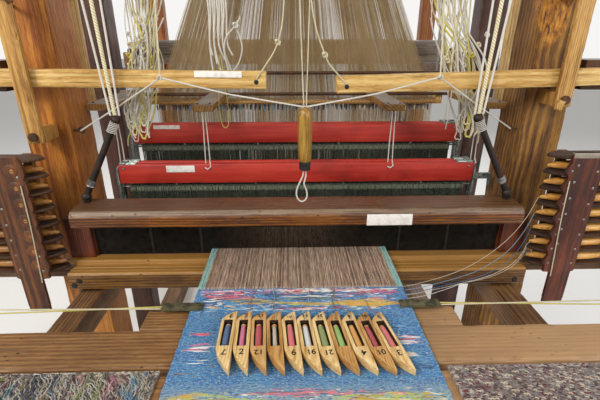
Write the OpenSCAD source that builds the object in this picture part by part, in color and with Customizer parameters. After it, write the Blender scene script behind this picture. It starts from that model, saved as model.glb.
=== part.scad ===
// Fly-shuttle hand loom with a harness for figured cloth, two stacks of shuttle boxes on its
// batten and a brocade cloth on the breast beam. Millimetres, +X right, +Y away from the
// weaver, +Z up, floor at z = 0.

/* [Frame] */
// Half of the loom's depth, front to back
half_depth = 1165; // [1140:5:1190]
// Distance from the middle of the loom to the middle of a side
side_x = 735; // [735:1:739]
// Thickness and height of the floor sills
sill = 90; // [70:1:110]
// Width of the thin side rails
rail_w = 70; // [60:1:80]
// Height of the thin side rails
rail_h = 80; // [60:1:90]
// Side of the square front posts
post = 140; // [130:1:142]
// Front face of the front posts
post_front_y = -405; // [-410:1:-404]
// Top of the front posts
post_top = 2120; // [2080:5:2160]
// Side of the dark inner posts
inner_post = 93; // [80:1:96]
// Front face of the dark inner posts
inner_post_y = 20; // [16:1:24]
// Side of the rear posts
rear_post = 75; // [65:1:85]
// Front face of the rear posts
rear_post_y = 780; // [760:1:800]

/* [Cloth and warp] */
// Height of the warp and of the cloth
cloth_z = 900; // [899:0.5:901]
// Width of the cloth
cloth_w = 537; // [531:1:537]
// Thickness of the cloth
cloth_t = 2; // [1.5:0.1:2.5]
// Place of the fell, where the cloth begins
fell_y = -701; // [-703:1:-700]
// Number of warp ribbons
ribbons = 60; // [50:1:60]
// Width of one warp ribbon
ribbon_w = 5; // [4:0.1:5]
// Thickness of one warp ribbon
ribbon_t = 1; // [0.8:0.1:1.2]

/* [Batten] */
// Height of the axis on which the batten swings
swing_z = 2150; // [2148:1:2152]
// Place of that axis, front to back
swing_y = -530; // [-531:1:-529]
// Half length of the race beam
race_half = 702; // [700:1:704]
// Height of the race beam
race_h = 69; // [60:1:74]
// Depth of the race beam
race_d = 89; // [84:1:90]
// Free height of the reed
reed_h = 116; // [112:1:118]
// Height of the handrail
rail_hand_h = 52; // [46:1:54]
// Depth of the handrail
rail_hand_d = 113; // [106:1:115]

/* [Shuttle boxes] */
// Number of shuttle boxes in a stack
levels = 7; // [5:1:7]
// Height of one shuttle box
pitch = 47; // [46:0.5:48]
// Thickness of a box shelf
shelf_t = 8; // [6:0.5:9]
// Length of a shuttle box
box_len = 400; // [380:5:410]
// Width of the front plate
plate_w = 100; // [90:1:104]

/* [Harness] */
// Lift of a heddle frame
shaft_lift = 50; // [30:1:50]
// Height of a heddle frame's upper bar
bar_h = 66; // [56:1:68]
// Thickness of a heddle frame's bar
bar_t = 20; // [16:1:21]
// Holes across the comber board
board_holes = 60; // [40:1:60]
// Height of the comber board
board_z = 1272; // [1265:1:1276]

/* [Hidden] */
$fn = 32;

// Small gap that parts moving past each other keep
gap = 0.3;
warp_bottom = cloth_z - ribbon_t / 2;
warp_top = cloth_z + ribbon_t / 2;
ribbon_pitch = (cloth_w - ribbon_w) / (ribbons - 1);
rail_top = 855;
rail_bottom = rail_top - rail_h;
front_rail_top = 800;
front_rail_bottom = front_rail_top - rail_h;
front_rail_x = side_x - post / 2 - rail_w / 2;
post_back_y = post_front_y + post;
side_out = side_x + post / 2;
side_in = side_x - post / 2;

// Breast beam: a broad board with a round front edge
beam_w = 180;
beam_top = cloth_z - cloth_t - gap;
beam_bottom = rail_top;
beam_r = (beam_top - beam_bottom) / 2;
beam_back_y = -half_depth + beam_w;

// Knee board behind the breast beam
plank_front_y = -half_depth + 206;
plank_back_y = plank_front_y + 113;
plank_top = cloth_z - 6;

// Temple clips beside the fell
clip_y = fell_y - 75;

// Cloth beam below the breast beam
cloth_beam_y = -half_depth + 165;
cloth_beam_z = 640;
cloth_beam_r = 45;
cloth_roll_r = 78;
gudgeon_r = 16;
run_gap = 0.05;

// Batten
race_back_y = -487;
race_top = 886;
race_bottom = race_top - race_h;
step_d = 30;
step_h = 14;
reed_y = -487;
reed_t = 16;
hand_bottom = race_top + reed_h + 14;
hand_top = hand_bottom + rail_hand_h;
hand_back_y = -462;
hand_front_y = hand_back_y - rail_hand_d;
cheek_in = 620;

// Shuttle boxes
box_in = 700;
plate_x = 715;
plate_front_y = -585;
plate_t = 10;
box_front_y = plate_front_y + plate_t;
box_depth = 62;
stack_bottom = race_top - shelf_t;
stack_h = levels * pitch + shelf_t;
plate_top = stack_bottom + stack_h + 12;

// Box levers and picking handle
lever_z = 1410;
lever_y = -450;
lever_t = 38;
lever_h = 46;
lever_pivot_x = 880;
handle_x = 13;
handle_y = -585;
handle_top = 1350;
handle_bottom = 1187;

// Heddle frames: place front to back, middle of the upper bar, half length
shaft_y = [-335, -305, -176, -146];
shaft_z = [1099, 1099, 1193, 1193];
shaft_half = 590;
shaft_low = 690;

// Jack arms on their rod
jack_rod_y = -35;
jack_rod_z = 1310;
jack_rod_r = 6;
arm_t = 22;
inner_arms = [-290, 300];
outer_arms = [-613, 622];

// Harness, neck and head
neck_z = 2150;
neck_half = 150;
fixed_rows = [25, 45];
lifted_rows = [-15, 5];
cord_r = 1.5;
harness_half = (board_holes - 1) * ribbon_pitch;
lingo_top = 720;
lingo_len = 180;
griffe_lift = 70;

// Warp beam and rollers
back_rest_y = half_depth - 40;
back_rest_r = (warp_bottom - rail_top) / 2;
warp_beam_y = 1000;
warp_beam_z = 560;
warp_roll_r = 120;
roller_y = 350;
roller_z = 1447;
roller_r = 55;

// Routes of the loose yarns and of the loop below the handle
yarn_routes = [
    [[681, -547, 1090], [675, -552, 1087], [666, -560, 1079], [654, -571, 1068], [634, -586, 1046],
     [610, -599, 1020], [582, -611, 994], [550, -622, 970], [516, -632, 949], [480, -643, 932],
     [442, -654, 919], [404, -665, 911], [366, -676, 906], [328, -687, 903], [296, -697, 902], [270,
         -704, 902]],
    [[681, -547, 1043], [675, -553, 1040], [666, -561, 1032], [654, -572, 1020], [634, -587, 999],
     [609, -603, 976], [580, -618, 954], [548, -631, 936], [513, -644, 923], [477, -657, 913],
     [440, -669, 908], [403, -681, 905], [367, -693, 904], [332, -705, 903], [298, -714, 902], [270,
         -720, 902]],
    [[681, -547, 996], [675, -553, 993], [666, -562, 985], [654, -574, 974], [633, -591, 955],
     [607, -609, 937], [577, -627, 923], [544, -643, 913], [509, -658, 907], [473, -672, 904],
     [436, -685, 903], [400, -697, 903], [365, -709, 903], [331, -720, 903], [299, -730, 902], [270,
         -737, 902]]
];
loop_route = [
    [10, -585, 1186.5], [8, -586, 1172], [3, -587, 1160], [-3, -588, 1147], [-8, -589, 1133],
    [-9, -590, 1119], [-5, -590, 1107], [3, -590, 1100], [12, -590, 1102], [18, -590, 1111],
    [19, -589, 1124], [15, -588, 1138], [11, -588, 1150], [14, -587, 1162], [16, -586, 1174],
    [15, -585, 1186.5]
];

// General shapes

// Box from its lowest corner and its size
module block(x, y, z, sx, sy, sz) {
    translate([x, y, z]) cube([sx, sy, sz]);
}

// The same thing on both sides of the loom
module both_sides() {
    children();
    mirror([1, 0, 0]) children();
}

// Timber with chamfered long edges, lying along X
module timber_x(x0, x1, y, z, d, h, c = 4) {
    translate([x0, y, z])
        rotate([90, 0, 90])
            linear_extrude(x1 - x0)
                polygon([[c, 0], [d - c, 0], [d, c], [d, h - c], [d - c, h], [c, h], [0, h - c], [0, c]]);
}

// Timber with chamfered long edges, standing along Z
module timber_z(x, y, z0, z1, w, d, c = 4) {
    translate([x, y, z0])
        linear_extrude(z1 - z0)
            polygon([[c, 0], [w - c, 0], [w, c], [w, d - c], [w - c, d], [c, d], [0, d - c], [0, c]]);
}

// Timber with chamfered long edges, lying along Y
module timber_y(x, y0, y1, z, w, h, c = 4) {
    translate([x, y1, z])
        rotate([90, 0, 0])
            linear_extrude(y1 - y0)
                polygon([[c, 0], [w - c, 0], [w, c], [w, h - c], [w - c, h], [c, h], [0, h - c], [0, c]]);
}

// Round bar between two points
module rod(a, b, r) {
    v = b - a;
    len = norm(v);
    translate(a)
        rotate([0, acos(v[2] / len), atan2(v[1], v[0])])
            cylinder(h = len, r = r, $fn = 16);
}

// Cord between two points, cut short at each end
module span(a, b, r, cut_a, cut_b) {
    u = unit(b - a);
    rod(a + cut_a * u, b - cut_b * u, r);
}

// Round bar along X
module rod_x(x0, x1, y, z, r) {
    translate([x0, y, z]) rotate([0, 90, 0]) cylinder(h = x1 - x0, r = r);
}

// Round bar along Y
module rod_y(x, y0, y1, z, r) {
    translate([x, y1, z]) rotate([90, 0, 0]) cylinder(h = y1 - y0, r = r);
}

function unit(v) = v / norm(v);
function tangent(p, i) = unit(p[min(i + 1, len(p) - 1)] - p[max(i - 1, 0)]);
function side_dir(t) = unit(cross(t, abs(t[2]) > 0.9 ? [1, 0, 0] : [0, 0, 1]));

// Closed tube along a route of points
module tube(p, r, sides = 8) {
    n = len(p);
    rings = [
        for (i = [0 : n - 1])
            let (t = tangent(p, i), s = side_dir(t), u = cross(t, s))
                for (k = [0 : sides - 1])
                    p[i] + r * (cos(360 * k / sides) * s + sin(360 * k / sides) * u)
    ];
    walls = [
        for (i = [0 : n - 2])
            for (k = [0 : sides - 1])
                let (a = i * sides + k, b = i * sides + (k + 1) % sides)
                    [a, b, b + sides, a + sides]
    ];
    first = [[for (k = [sides - 1 : -1 : 0]) k]];
    last = [[for (k = [0 : sides - 1]) (n - 1) * sides + k]];
    polyhedron(rings, concat(walls, first, last), convexity = 6);
}

// Frame

module floor_frame() {
    color([0.36, 0.22, 0.13]) {
        both_sides() timber_y(side_x - sill / 2, -half_depth - pad_t, half_depth + pad_t, 0, sill, sill);
        for (y = [-half_depth, half_depth - 60 - sill])
            timber_x(-side_x + sill / 2, side_x - sill / 2, y, 10, sill, sill - 20);
    }
}

module side_rails() {
    color([0.55, 0.36, 0.18])
        both_sides() {
            timber_y(front_rail_x - rail_w / 2, -half_depth, post_back_y, front_rail_bottom, rail_w, rail_h);
            timber_y(front_rail_x - rail_w / 2, -half_depth, plank_back_y, front_rail_top, rail_w,
                rail_top - front_rail_top, 2);
            timber_y(side_x - rail_w / 2, post_back_y, inner_post_y, rail_bottom, rail_w, rail_h);
            timber_y(side_x - rail_w / 2, inner_post_y + inner_post, rear_post_y, rail_bottom, rail_w,
                rail_h);
            timber_y(side_x - rail_w / 2, rear_post_y + rear_post, half_depth, rail_bottom, rail_w, rail_h);
        }
}

module end_legs() {
    color([0.45, 0.28, 0.15])
        both_sides() {
            timber_z(side_x - rail_w / 2, half_depth - rail_w, sill, rail_bottom, rail_w, rail_w);
            timber_z(front_rail_x - rail_w / 2, -half_depth, 10 + sill - 20, front_rail_bottom, rail_w,
                rail_w);
        }
}

module front_post() {
    difference() {
        timber_z(side_in, post_front_y, sill, post_top, post, post, 7);
        for (z = [620, 1500])
            block(side_in - 1, post_back_y - 12, z, 9, 13, 160);
    }
}

module front_post_left() {
    color([0.74, 0.50, 0.24]) mirror([1, 0, 0]) front_post();
}

module front_post_right() {
    color([0.48, 0.31, 0.17]) front_post();
}

module inner_posts() {
    color([0.25, 0.13, 0.11])
        both_sides() {
            timber_z(side_x - inner_post / 2, inner_post_y, sill, post_top, inner_post, inner_post);
            timber_z(side_x - rear_post / 2, rear_post_y, sill, post_top, rear_post, rear_post);
        }
}

top_rail_h = 100;
top_bar_y = [post_front_y + 20, inner_post_y + 60, rear_post_y];

module top_frame() {
    color([0.50, 0.32, 0.17]) {
        both_sides()
            difference() {
                timber_y(side_x - rail_w / 2 - 10, swing_y - 60, rear_post_y + rear_post + 40, post_top,
                    rail_w + 20, top_rail_h);
                rod_x(side_x - rail_w / 2 - 11, side_x + 0.5, swing_y, swing_z, gudgeon_r + run_gap);
            }
        for (y = top_bar_y)
            timber_x(-side_x + rail_w / 2 + 10, side_x - rail_w / 2 - 10, y, post_top, 80, top_rail_h);
    }
}

roller_rail_h = 50;
roller_bearing_z = roller_z - 60;

module roller_rails() {
    color([0.62, 0.42, 0.22])
        both_sides() {
            timber_y(side_x - 20, inner_post_y + inner_post, rear_post_y,
                roller_bearing_z - roller_rail_h, 40, roller_rail_h);
            difference() {
                block(side_x - 20, roller_y - 50, roller_bearing_z, 40, 100, 60);
                rod_x(side_x - 21, side_x + 21, roller_y, roller_z, gudgeon_r + run_gap);
            }
        }
}

// Straps bolted over the front posts, with a slot behind them for the box levers
strap_w = 45;
left_strap = [1236, 1700];
right_strap = [1330, 1640];
strap_end = 20;
strap_y = lever_y - lever_t / 2 - 3 - 18;

module guide_strap(z0, z1) {
    difference() {
        union() {
            block(side_x - 10 - strap_w / 2, strap_y, z0, strap_w, 18, z1 - z0);
            for (z = [z0, z1 - 2 * strap_end])
                block(side_x - 10 - strap_w / 2, strap_y + 18, z, strap_w, post_front_y - strap_y - 18,
                    2 * strap_end);
        }
        for (z = [z0 + strap_end, z1 - strap_end])
            rod_y(side_x - 10, strap_y - 1, post_front_y + 1, z, 6);
    }
}

module guide_straps() {
    color([0.84, 0.68, 0.42]) {
        mirror([1, 0, 0]) guide_strap(left_strap[0], left_strap[1]);
        guide_strap(right_strap[0], right_strap[1]);
    }
}

lever_block_y = lever_y + lever_t / 2 + 3;
peg_y = plank_back_y + 46;
peg_x = 792;
treadle_y0 = -700;
treadle_y1 = half_depth - 105;
treadle_pin_z = 272;
treadle_pin_r = 8;
cord_eye_y = -430;
cord_eye_z = 1253;

module bolt_y(x, y, z, r = 5.9) {
    rod_y(x, y, y + 60, z, r);
    rod_y(x, y - 8, y, z, 2 * r);
}

module iron_fittings() {
    color([0.24, 0.20, 0.17]) {
        // Strap bolts
        for (z = left_strap + [strap_end, -strap_end])
            bolt_y(-side_x + 10, strap_y, z);
        for (z = right_strap + [strap_end, -strap_end])
            bolt_y(side_x - 10, strap_y, z);
        // Pivots of the box levers, on plates at the sides of the posts
        both_sides() {
            block(side_out, lever_block_y, lever_z - 40, 110, 12, 80);
            block(side_out, lever_block_y + 12, lever_z - 40, 12, 80, 80);
            rod_y(lever_pivot_x, lever_y - lever_t / 2 - 12, lever_block_y, lever_z, 8);
            rod_y(lever_pivot_x, lever_y - lever_t / 2 - 20, lever_y - lever_t / 2 - 12, lever_z, 16);
        }
        // Eyes on the posts for the picking cords
        both_sides() {
            rod_x(side_in - 14, side_in, post_front_y + 15, cord_eye_z, 4);
            translate([side_in - 22, post_front_y + 15, cord_eye_z])
                rotate([90, 0, 0]) rotate_extrude($fn = 24) translate([8, 0]) circle(r = 2.5, $fn = 16);
        }
        // Pegs for the temple cords
        both_sides() {
            rod_y(peg_x, plank_back_y, peg_y, rail_top + 20, 7);
            translate([peg_x, peg_y, rail_top + 10]) cylinder(h = cloth_z + 30 - rail_top - 10, r = 8.5);
        }
        // Temple clips over the edges of the cloth
        both_sides() {
            block(cloth_w / 2 - 28, clip_y - 14, cloth_z, 97.9, 24, 7);
            for (dx = [-16, 34])
                translate([cloth_w / 2 + dx, clip_y - 2, cloth_z + 7]) cylinder(h = 3, r = 5);
        }
        // Rods of the harness and the rod on which the jack arms turn
        rod_x(-side_x + 20, side_x - 20, jack_rod_y, jack_rod_z, jack_rod_r);
        rod_x(-side_x + 20, side_x - 20, jack_rod_y, jack_rod_z + 76, jack_rod_r);
        both_sides()
            block(side_x - 22, jack_rod_y - 20, jack_rod_z - 24, 30, inner_post_y - jack_rod_y + 20, 124);
        // Pin of the pawl, below the left front rail
        rod_x(ratchet_x - 30, ratchet_x + 4, pawl_y, pawl_z, pawl_pin_r);
        block(ratchet_x - 30, pawl_y - 15, pawl_z - 15, 12, 30, front_rail_bottom - pawl_z + 15);
        // Pin and ears of the treadle, on the rear cross timber
        rod_x(-62, 62, treadle_y1, treadle_pin_z, treadle_pin_r);
        both_sides() block(34, treadle_y1 - 20, sill - 10, 12, 40, treadle_pin_z - sill + 30);
        // Bearings of the cloth beam and of the warp beam
        both_sides() {
            difference() {
                block(front_rail_x - 12, cloth_beam_y - 40, cloth_beam_z - 40, 24, 80,
                    front_rail_bottom - cloth_beam_z + 40);
                rod_x(front_rail_x - 13, front_rail_x + 13, cloth_beam_y, cloth_beam_z, gudgeon_r + run_gap);
            }
            difference() {
                block(side_x - 12, warp_beam_y - 40, warp_beam_z - 40, 24, 80,
                    rail_bottom - warp_beam_z + 40);
                rod_x(side_x - 13, side_x + 13, warp_beam_y, warp_beam_z, gudgeon_r + run_gap);
            }
        }
    }
}

// Front of the loom

module knee_board() {
    color([0.52, 0.36, 0.22])
        timber_x(-side_out, side_out, plank_front_y, rail_top, plank_back_y - plank_front_y,
            plank_top - rail_top, 5);
}

module under_board() {
    color([0.62, 0.44, 0.26]) {
        timber_x(-375, 375, plank_back_y + 4, plank_top - 26, 72, 22, 2);
        for (x = [-340, 340])
            timber_x(x - 25, x + 25, plank_back_y + 4, rail_top - 20, 50, plank_top - 26 - rail_top + 20, 2);
        timber_x(-front_rail_x + rail_w / 2, front_rail_x - rail_w / 2, plank_back_y + 2, rail_top - 60,
            52, 40, 2);
    }
}

module breast_beam() {
    color([0.50, 0.33, 0.19])
        translate([-side_out, 0, 0])
            rotate([90, 0, 90])
                linear_extrude(2 * side_out)
                    union() {
                        translate([-half_depth + beam_r, beam_bottom + beam_r]) circle(r = beam_r, $fn = 48);
                        translate([-half_depth + beam_r, beam_bottom]) square([beam_w - beam_r, 2 * beam_r]);
                    }
}

pad_t = 9;
pad_in = 285;

module breast_pad(x0, x1) {
    translate([x0, 0, 0])
        rotate([90, 0, 90])
            linear_extrude(x1 - x0)
                difference() {
                    union() {
                        translate([-half_depth + beam_r,
                            beam_bottom + beam_r]) circle(r = beam_r + pad_t, $fn = 48);
                        translate([-half_depth + beam_r, beam_top]) square([beam_w - beam_r + 6, pad_t - 2]);
                    }
                    translate([-half_depth + beam_r, beam_bottom + beam_r]) circle(r = beam_r + gap,
                        $fn = 48);
                    translate([-half_depth + beam_r, beam_bottom - 40]) square([beam_w,
                        beam_top - beam_bottom + 40 + gap]);
                    translate([-half_depth - 60, beam_bottom - 60]) square([120, 62]);
                }
}

module breast_pads() {
    color([0.62, 0.52, 0.48]) {
        breast_pad(-side_out + 5, -pad_in);
        breast_pad(pad_in, side_out - 5);
    }
}

// The cloth leaves the round front of the breast beam on the tangent to the roll below
round_c = [-half_depth + beam_r, beam_bottom + beam_r];
roll_c = [cloth_beam_y, cloth_beam_z];
wrap_r = beam_r + gap;
roll_way = roll_c - round_c;
fall = atan2(roll_way[1], roll_way[0]) - acos((wrap_r - cloth_roll_r - gap) / norm(roll_way));
fall_out = [cos(fall), sin(fall)];
wrap_steps = 16;
wrap = [for (i = [0 : wrap_steps]) 90 + i * (fall + 270) / wrap_steps];
function round_at(a, r) = round_c + r * [cos(a), sin(a)];

module brocade_cloth() {
    color([0.16, 0.45, 0.66])
        translate([-cloth_w / 2, 0, 0])
            rotate([90, 0, 90])
                linear_extrude(cloth_w)
                    polygon(concat(
                        [[fell_y, cloth_z]],
                        [for (a = wrap) round_at(a, wrap_r + cloth_t)],
                        [roll_c + (cloth_roll_r + gap + cloth_t) * fall_out],
                        [roll_c + (cloth_roll_r + gap) * fall_out],
                        [for (i = [wrap_steps : -1 : 0]) round_at(wrap[i], wrap_r)],
                        [[fell_y, cloth_z - cloth_t]]
                    ));
}

// Temple cords, from the clips at the edges of the cloth to the pegs

module temple_cords() {
    color([0.86, 0.80, 0.55])
        both_sides()
            for (dz = [0, 8])
                rod([cloth_w / 2 + 70, clip_y - dz, cloth_z + 3], [peg_x - 8.8, peg_y + dz - 4,
                    cloth_z + 10 + dz], 1.6);
}

// Brocade shuttles: one straight side, the other drawn in to a tip at each end

shuttle_l = 180;
shuttle_w = 33;
shuttle_h = 22;
tip_w = 1.2;
well = [-26.8, 54.7];
well_half = 9.6;
well_floor = 4.2;
quill_x = 40.5;
quill_r = 7.4;
quill_z = 13.4;
brocade_n = 11;

function drawn(t) = t < -0.35 ? pow((-t - 0.35) / 0.65, 1.55) : t > 0.62 ? pow((t - 0.62) / 0.38, 1.6) : 0;

module brocade_shuttle() {
    n = 20;
    side = [for (i = [n : -1 : 0]) let (t = -1 + 2 * i / n) [t * shuttle_l / 2,
        shuttle_w / 2 - (shuttle_w - tip_w) * drawn(t)]];
    difference() {
        linear_extrude(shuttle_h)
            polygon(concat([[-shuttle_l / 2, -shuttle_w / 2], [shuttle_l / 2, -shuttle_w / 2]], side));
        translate([well[0], -well_half, well_floor]) cube([well[1] - well[0], 2 * well_half, shuttle_h]);
    }
    translate([well[0] - 0.5, 0, quill_z])
        rotate([0, 90, 0]) cylinder(h = quill_x - well[0] + 0.5, r = quill_r, $fn = 24);
    translate([quill_x - 1, 0, quill_z])
        rotate([0, 90, 0]) cylinder(h = well[1] - quill_x + 1.8, r = 2.2, $fn = 16);
}

module brocade_shuttles() {
    color([0.86, 0.70, 0.44])
        for (i = [0 : brocade_n - 1])
            translate([-165 + i * 34.6, plank_front_y + 53 - 1.2 * i, cloth_z + gap])
                rotate([0, 0, 91 + 0.9 * i])
                    brocade_shuttle();
}

// Cloth beam with its ratchet

spike_x = 520;

module cloth_beam() {
    color([0.42, 0.30, 0.24])
        difference() {
            union() {
                rod_x(-front_rail_x + 50, front_rail_x - 50, cloth_beam_y, cloth_beam_z, cloth_beam_r);
                rod_x(-front_rail_x - 12, front_rail_x + 12, cloth_beam_y, cloth_beam_z, gudgeon_r);
                rod_x(-cloth_w / 2, cloth_w / 2, cloth_beam_y, cloth_beam_z, cloth_roll_r);
            }
            for (a = [0, 90])
                translate([spike_x, cloth_beam_y, cloth_beam_z])
                    rotate([a, 0, 0]) cylinder(h = 4 * cloth_beam_r, r = 12, center = true);
        }
}

ratchet_x = -front_rail_x + 40;
ratchet_r = 78;
ratchet_teeth = 24;
tooth_h = 12;

module ratchet_wheel() {
    color([0.22, 0.20, 0.19])
        translate([ratchet_x - 14, cloth_beam_y, cloth_beam_z])
            rotate([90, 0, 90])
                linear_extrude(12)
                    difference() {
                        polygon([
                            for (i = [0 : ratchet_teeth - 1])
                                for (k = [0, 1])
                                    let (a = i * 360 / ratchet_teeth,
                                        r = k == 0 ? ratchet_r - tooth_h : ratchet_r)
                                        [r * cos(a), r * sin(a)]
                        ]);
                        circle(r = gudgeon_r);
                    }
}

pawl_y = cloth_beam_y + 125;
pawl_pin_r = 6;
pawl_z = cloth_beam_z + 35;

module pawl() {
    color([0.22, 0.20, 0.19])
        difference() {
            union() {
                rod_x(ratchet_x - 14, ratchet_x - 2, pawl_y, pawl_z, 12);
                translate([ratchet_x - 14, 0, 0])
                    rotate([90, 0, 90])
                        linear_extrude(12)
                            polygon([
                                [pawl_y - 2, pawl_z + 11],
                                [pawl_y - 4, pawl_z - 11],
                                [cloth_beam_y + ratchet_r - 5, cloth_beam_z + 34],
                                [cloth_beam_y + ratchet_r - 8, cloth_beam_z + 42]
                            ]);
            }
            rod_x(ratchet_x - 15, ratchet_x - 1, pawl_y, pawl_z, pawl_pin_r + run_gap);
        }
}

// Batten

module handrail() {
    color([0.45, 0.26, 0.12])
        translate([-634, 0, 0])
            rotate([90, 0, 90])
                linear_extrude(1268)
                    union() {
                        translate([hand_front_y + 24, hand_top - 26]) circle(r = 26);
                        translate([hand_back_y - 16, hand_top - 16]) circle(r = 16);
                        translate([hand_front_y, hand_bottom]) square([rail_hand_d,
                            hand_top - 26 - hand_bottom]);
                        translate([hand_front_y + 24, hand_bottom]) square([rail_hand_d - 40, rail_hand_h]);
                    }
}

module reed() {
    x0 = -ribbons / 2 * ribbon_pitch;
    end_bars = 22;
    end_pitch = (cheek_in - 24 + x0) / (end_bars - 1);
    color([0.20, 0.18, 0.17]) {
        timber_x(-cheek_in, cheek_in, reed_y, race_top - 20, reed_t, 20, 1);
        timber_x(-cheek_in, cheek_in, reed_y, hand_bottom - 20, reed_t, 20, 1);
        for (i = [0 : ribbons])
            block(x0 + i * ribbon_pitch - 0.8, reed_y + 3, race_top, 1.6, reed_t - 6,
                hand_bottom - 20 - race_top);
        for (s = [-1, 1])
            for (i = [0 : end_bars - 1])
                block(s * (x0 - 12 - i * end_pitch) - 5, reed_y + 3, race_top, 10, reed_t - 6,
                    hand_bottom - 20 - race_top);
    }
}

// The race has a step along its back, on which the warp lies
module race_beam() {
    color([0.72, 0.50, 0.24]) {
        difference() {
            translate([-race_half, race_back_y - race_d, race_bottom])
                rotate([90, 0, 90])
                    linear_extrude(2 * race_half)
                        polygon([
                            [4, 0], [race_d - 3, 0], [race_d, 3], [race_d, race_h], [race_d - step_d, race_h],
                            [race_d - step_d - 4, race_h - step_h], [6, race_h - step_h],
                            [0, race_h - step_h - 6], [0, 4]
                        ]);
            // The boxes pass down in front of this end strip
            both_sides()
                block(box_in - 23.5, race_back_y - race_d - 1, race_bottom - 1, 60, race_d - 25, race_h + 2);
        }
        both_sides() {
            timber_x(cheek_in, race_half - 8, reed_y, race_top - 20, 22, hand_bottom - race_top + 20, 2);
            timber_x(cheek_in + 2, race_half - 8, reed_y - 18, race_top, 18, hand_bottom - race_top, 1);
        }
        // Brackets and spindles on which the pickers run
        both_sides() {
            block(race_half, race_back_y - 14, race_bottom, box_len + 30, 14, 40);
            rod_x(race_half - 20, race_half + box_len + 30, race_back_y - 7, race_bottom + 56, 6);
            block(race_half + box_len + 16, race_back_y - 14, race_bottom + 40, 14, 14, 30);
        }
    }
}

rod_low = [612, -500, hand_top + 16];
rod_high = [500, -480, 1300];
knuckle_r = 13;

module hanger_rods() {
    color([0.16, 0.14, 0.14])
        both_sides() {
            rod(rod_low, rod_high, 9);
            translate([rod_low[0], rod_low[1], hand_top]) cylinder(h = 16, r = 10);
            translate(rod_low) sphere(r = 14, $fn = 24);
            translate(rod_high) sphere(r = knuckle_r, $fn = 24);
        }
}

rock_r = 30;

module batten_ropes() {
    color([0.90, 0.87, 0.78])
        both_sides() {
            rod(rod_high + [0, 0, knuckle_r - 0.1], [rod_high[0], swing_y, swing_z - rock_r - gap], 5);
            for (s = [-1, 1])
                rod(rod_high + [8 * s, 0, knuckle_r - 1.1], [rod_high[0] + 26 * s, swing_y,
                    swing_z - rock_r - gap], 3);
        }
}

module rocking_bar() {
    color([0.50, 0.34, 0.20]) {
        rod_x(-side_x + 60, side_x - 60, swing_y, swing_z, rock_r);
        rod_x(-side_x, side_x, swing_y, swing_z, gudgeon_r);
    }
}

// Shuttle boxes of one side

plate_half = plate_w / 2;
leaf = 9;

// Front plate with scallops down its inner edge
module box_plate() {
    translate([plate_x + 48, plate_front_y, 0])
        rotate([90, 0, 0])
            translate([0, 0, -plate_t])
                linear_extrude(plate_t)
                    difference() {
                        union() {
                            translate([-plate_half + leaf, stack_bottom - 16]) square([plate_w - leaf,
                                plate_top - stack_bottom + 16]);
                            for (i = [0 : levels])
                                translate([-plate_half + leaf,
                                    stack_bottom + i * pitch - (i == levels ? 6 : -6)])
                                    circle(r = 14, $fn = 24);
                            translate([-plate_half + 34, stack_bottom - 110]) square([plate_w - 40, 100]);
                        }
                        for (i = [0 : levels - 1])
                            translate([-plate_half + 2,
                                stack_bottom + (i + 0.5) * pitch + 5]) circle(r = 9, $fn = 24);
                    }
}

// Shelves, back board with the picker's slot left open below it, and outer end
module box_shelves() {
    for (i = [0 : levels])
        translate([0, 0, stack_bottom + i * pitch])
            linear_extrude(shelf_t)
                polygon([
                    [box_in - 22, box_front_y + 34], [box_in - 12, box_front_y + 18], [box_in + 14,
                        box_front_y],
                    [box_in + box_len, box_front_y], [box_in + box_len, box_front_y + box_depth - 2],
                    [box_in + 14, box_front_y + box_depth - 2], [box_in - 8, box_front_y + 48]
                ]);
    block(box_in + box_len, box_front_y, stack_bottom, 12, 26, stack_h);
    for (x = [box_in + 30, box_in + box_len - 60])
        block(x, box_front_y + box_depth - 2, stack_bottom, 26,
            race_back_y - 14 - gap - box_front_y - box_depth + 2, stack_h);
}

box_shuttle_l = 265;
box_shuttle_w = 42;

// Half width of a boat form along its length, t from -1 to 1
function boat(t) = box_shuttle_w / 2 * (1 - pow(abs(t), 2.4));

module box_shuttles() {
    n = 9;
    side = [for (i = [0 : n - 1]) let (t = -1 + 2 * i / n) [t * box_shuttle_l / 2, boat(t)]];
    for (i = [0 : levels - 1])
        translate([box_in - 18 + box_shuttle_l / 2, box_front_y + 28,
            stack_bottom + i * pitch + shelf_t + gap])
            linear_extrude(30) polygon(concat(side, [for (p = side) -p]));
}

module box_plate_left() {
    color([0.28, 0.12, 0.09]) mirror([1, 0, 0]) box_plate();
}

module box_plate_right() {
    color([0.34, 0.15, 0.10]) box_plate();
}

module box_shelves_left() {
    color([0.50, 0.30, 0.16]) mirror([1, 0, 0]) box_shelves();
}

module box_shelves_right() {
    color([0.50, 0.30, 0.16]) box_shelves();
}

module box_shuttles_left() {
    color([0.86, 0.56, 0.26]) mirror([1, 0, 0]) box_shuttles();
}

module box_shuttles_right() {
    color([0.86, 0.56, 0.26]) box_shuttles();
}

picker_x = box_in + box_len - 40;

module picker() {
    difference() {
        union() {
            block(picker_x, race_back_y - 14, race_bottom + 46, 26, 14, 20);
            block(picker_x, race_back_y - 14, race_bottom + 66, 26, 14, 60);
        }
        rod_x(picker_x - 1, picker_x + 27, race_back_y - 7, race_bottom + 56, 6 + run_gap);
    }
}

module picker_left() {
    color([0.55, 0.36, 0.22]) mirror([1, 0, 0]) picker();
}

module picker_right() {
    color([0.55, 0.36, 0.22]) picker();
}

// Box levers and picking handle

module box_lever(inner_x, tilt) {
    difference() {
        translate([lever_pivot_x, lever_y, lever_z])
            rotate([0, tilt, 0])
                block(inner_x - lever_pivot_x, -lever_t / 2, -lever_h / 2, lever_pivot_x - inner_x + 45,
                    lever_t, lever_h);
        rod_y(lever_pivot_x, lever_y - lever_t, lever_y + lever_t, lever_z, 8 + run_gap);
    }
}

module box_lever_left() {
    color([0.85, 0.66, 0.40]) mirror([1, 0, 0]) box_lever(87, -0.6);
}

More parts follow.
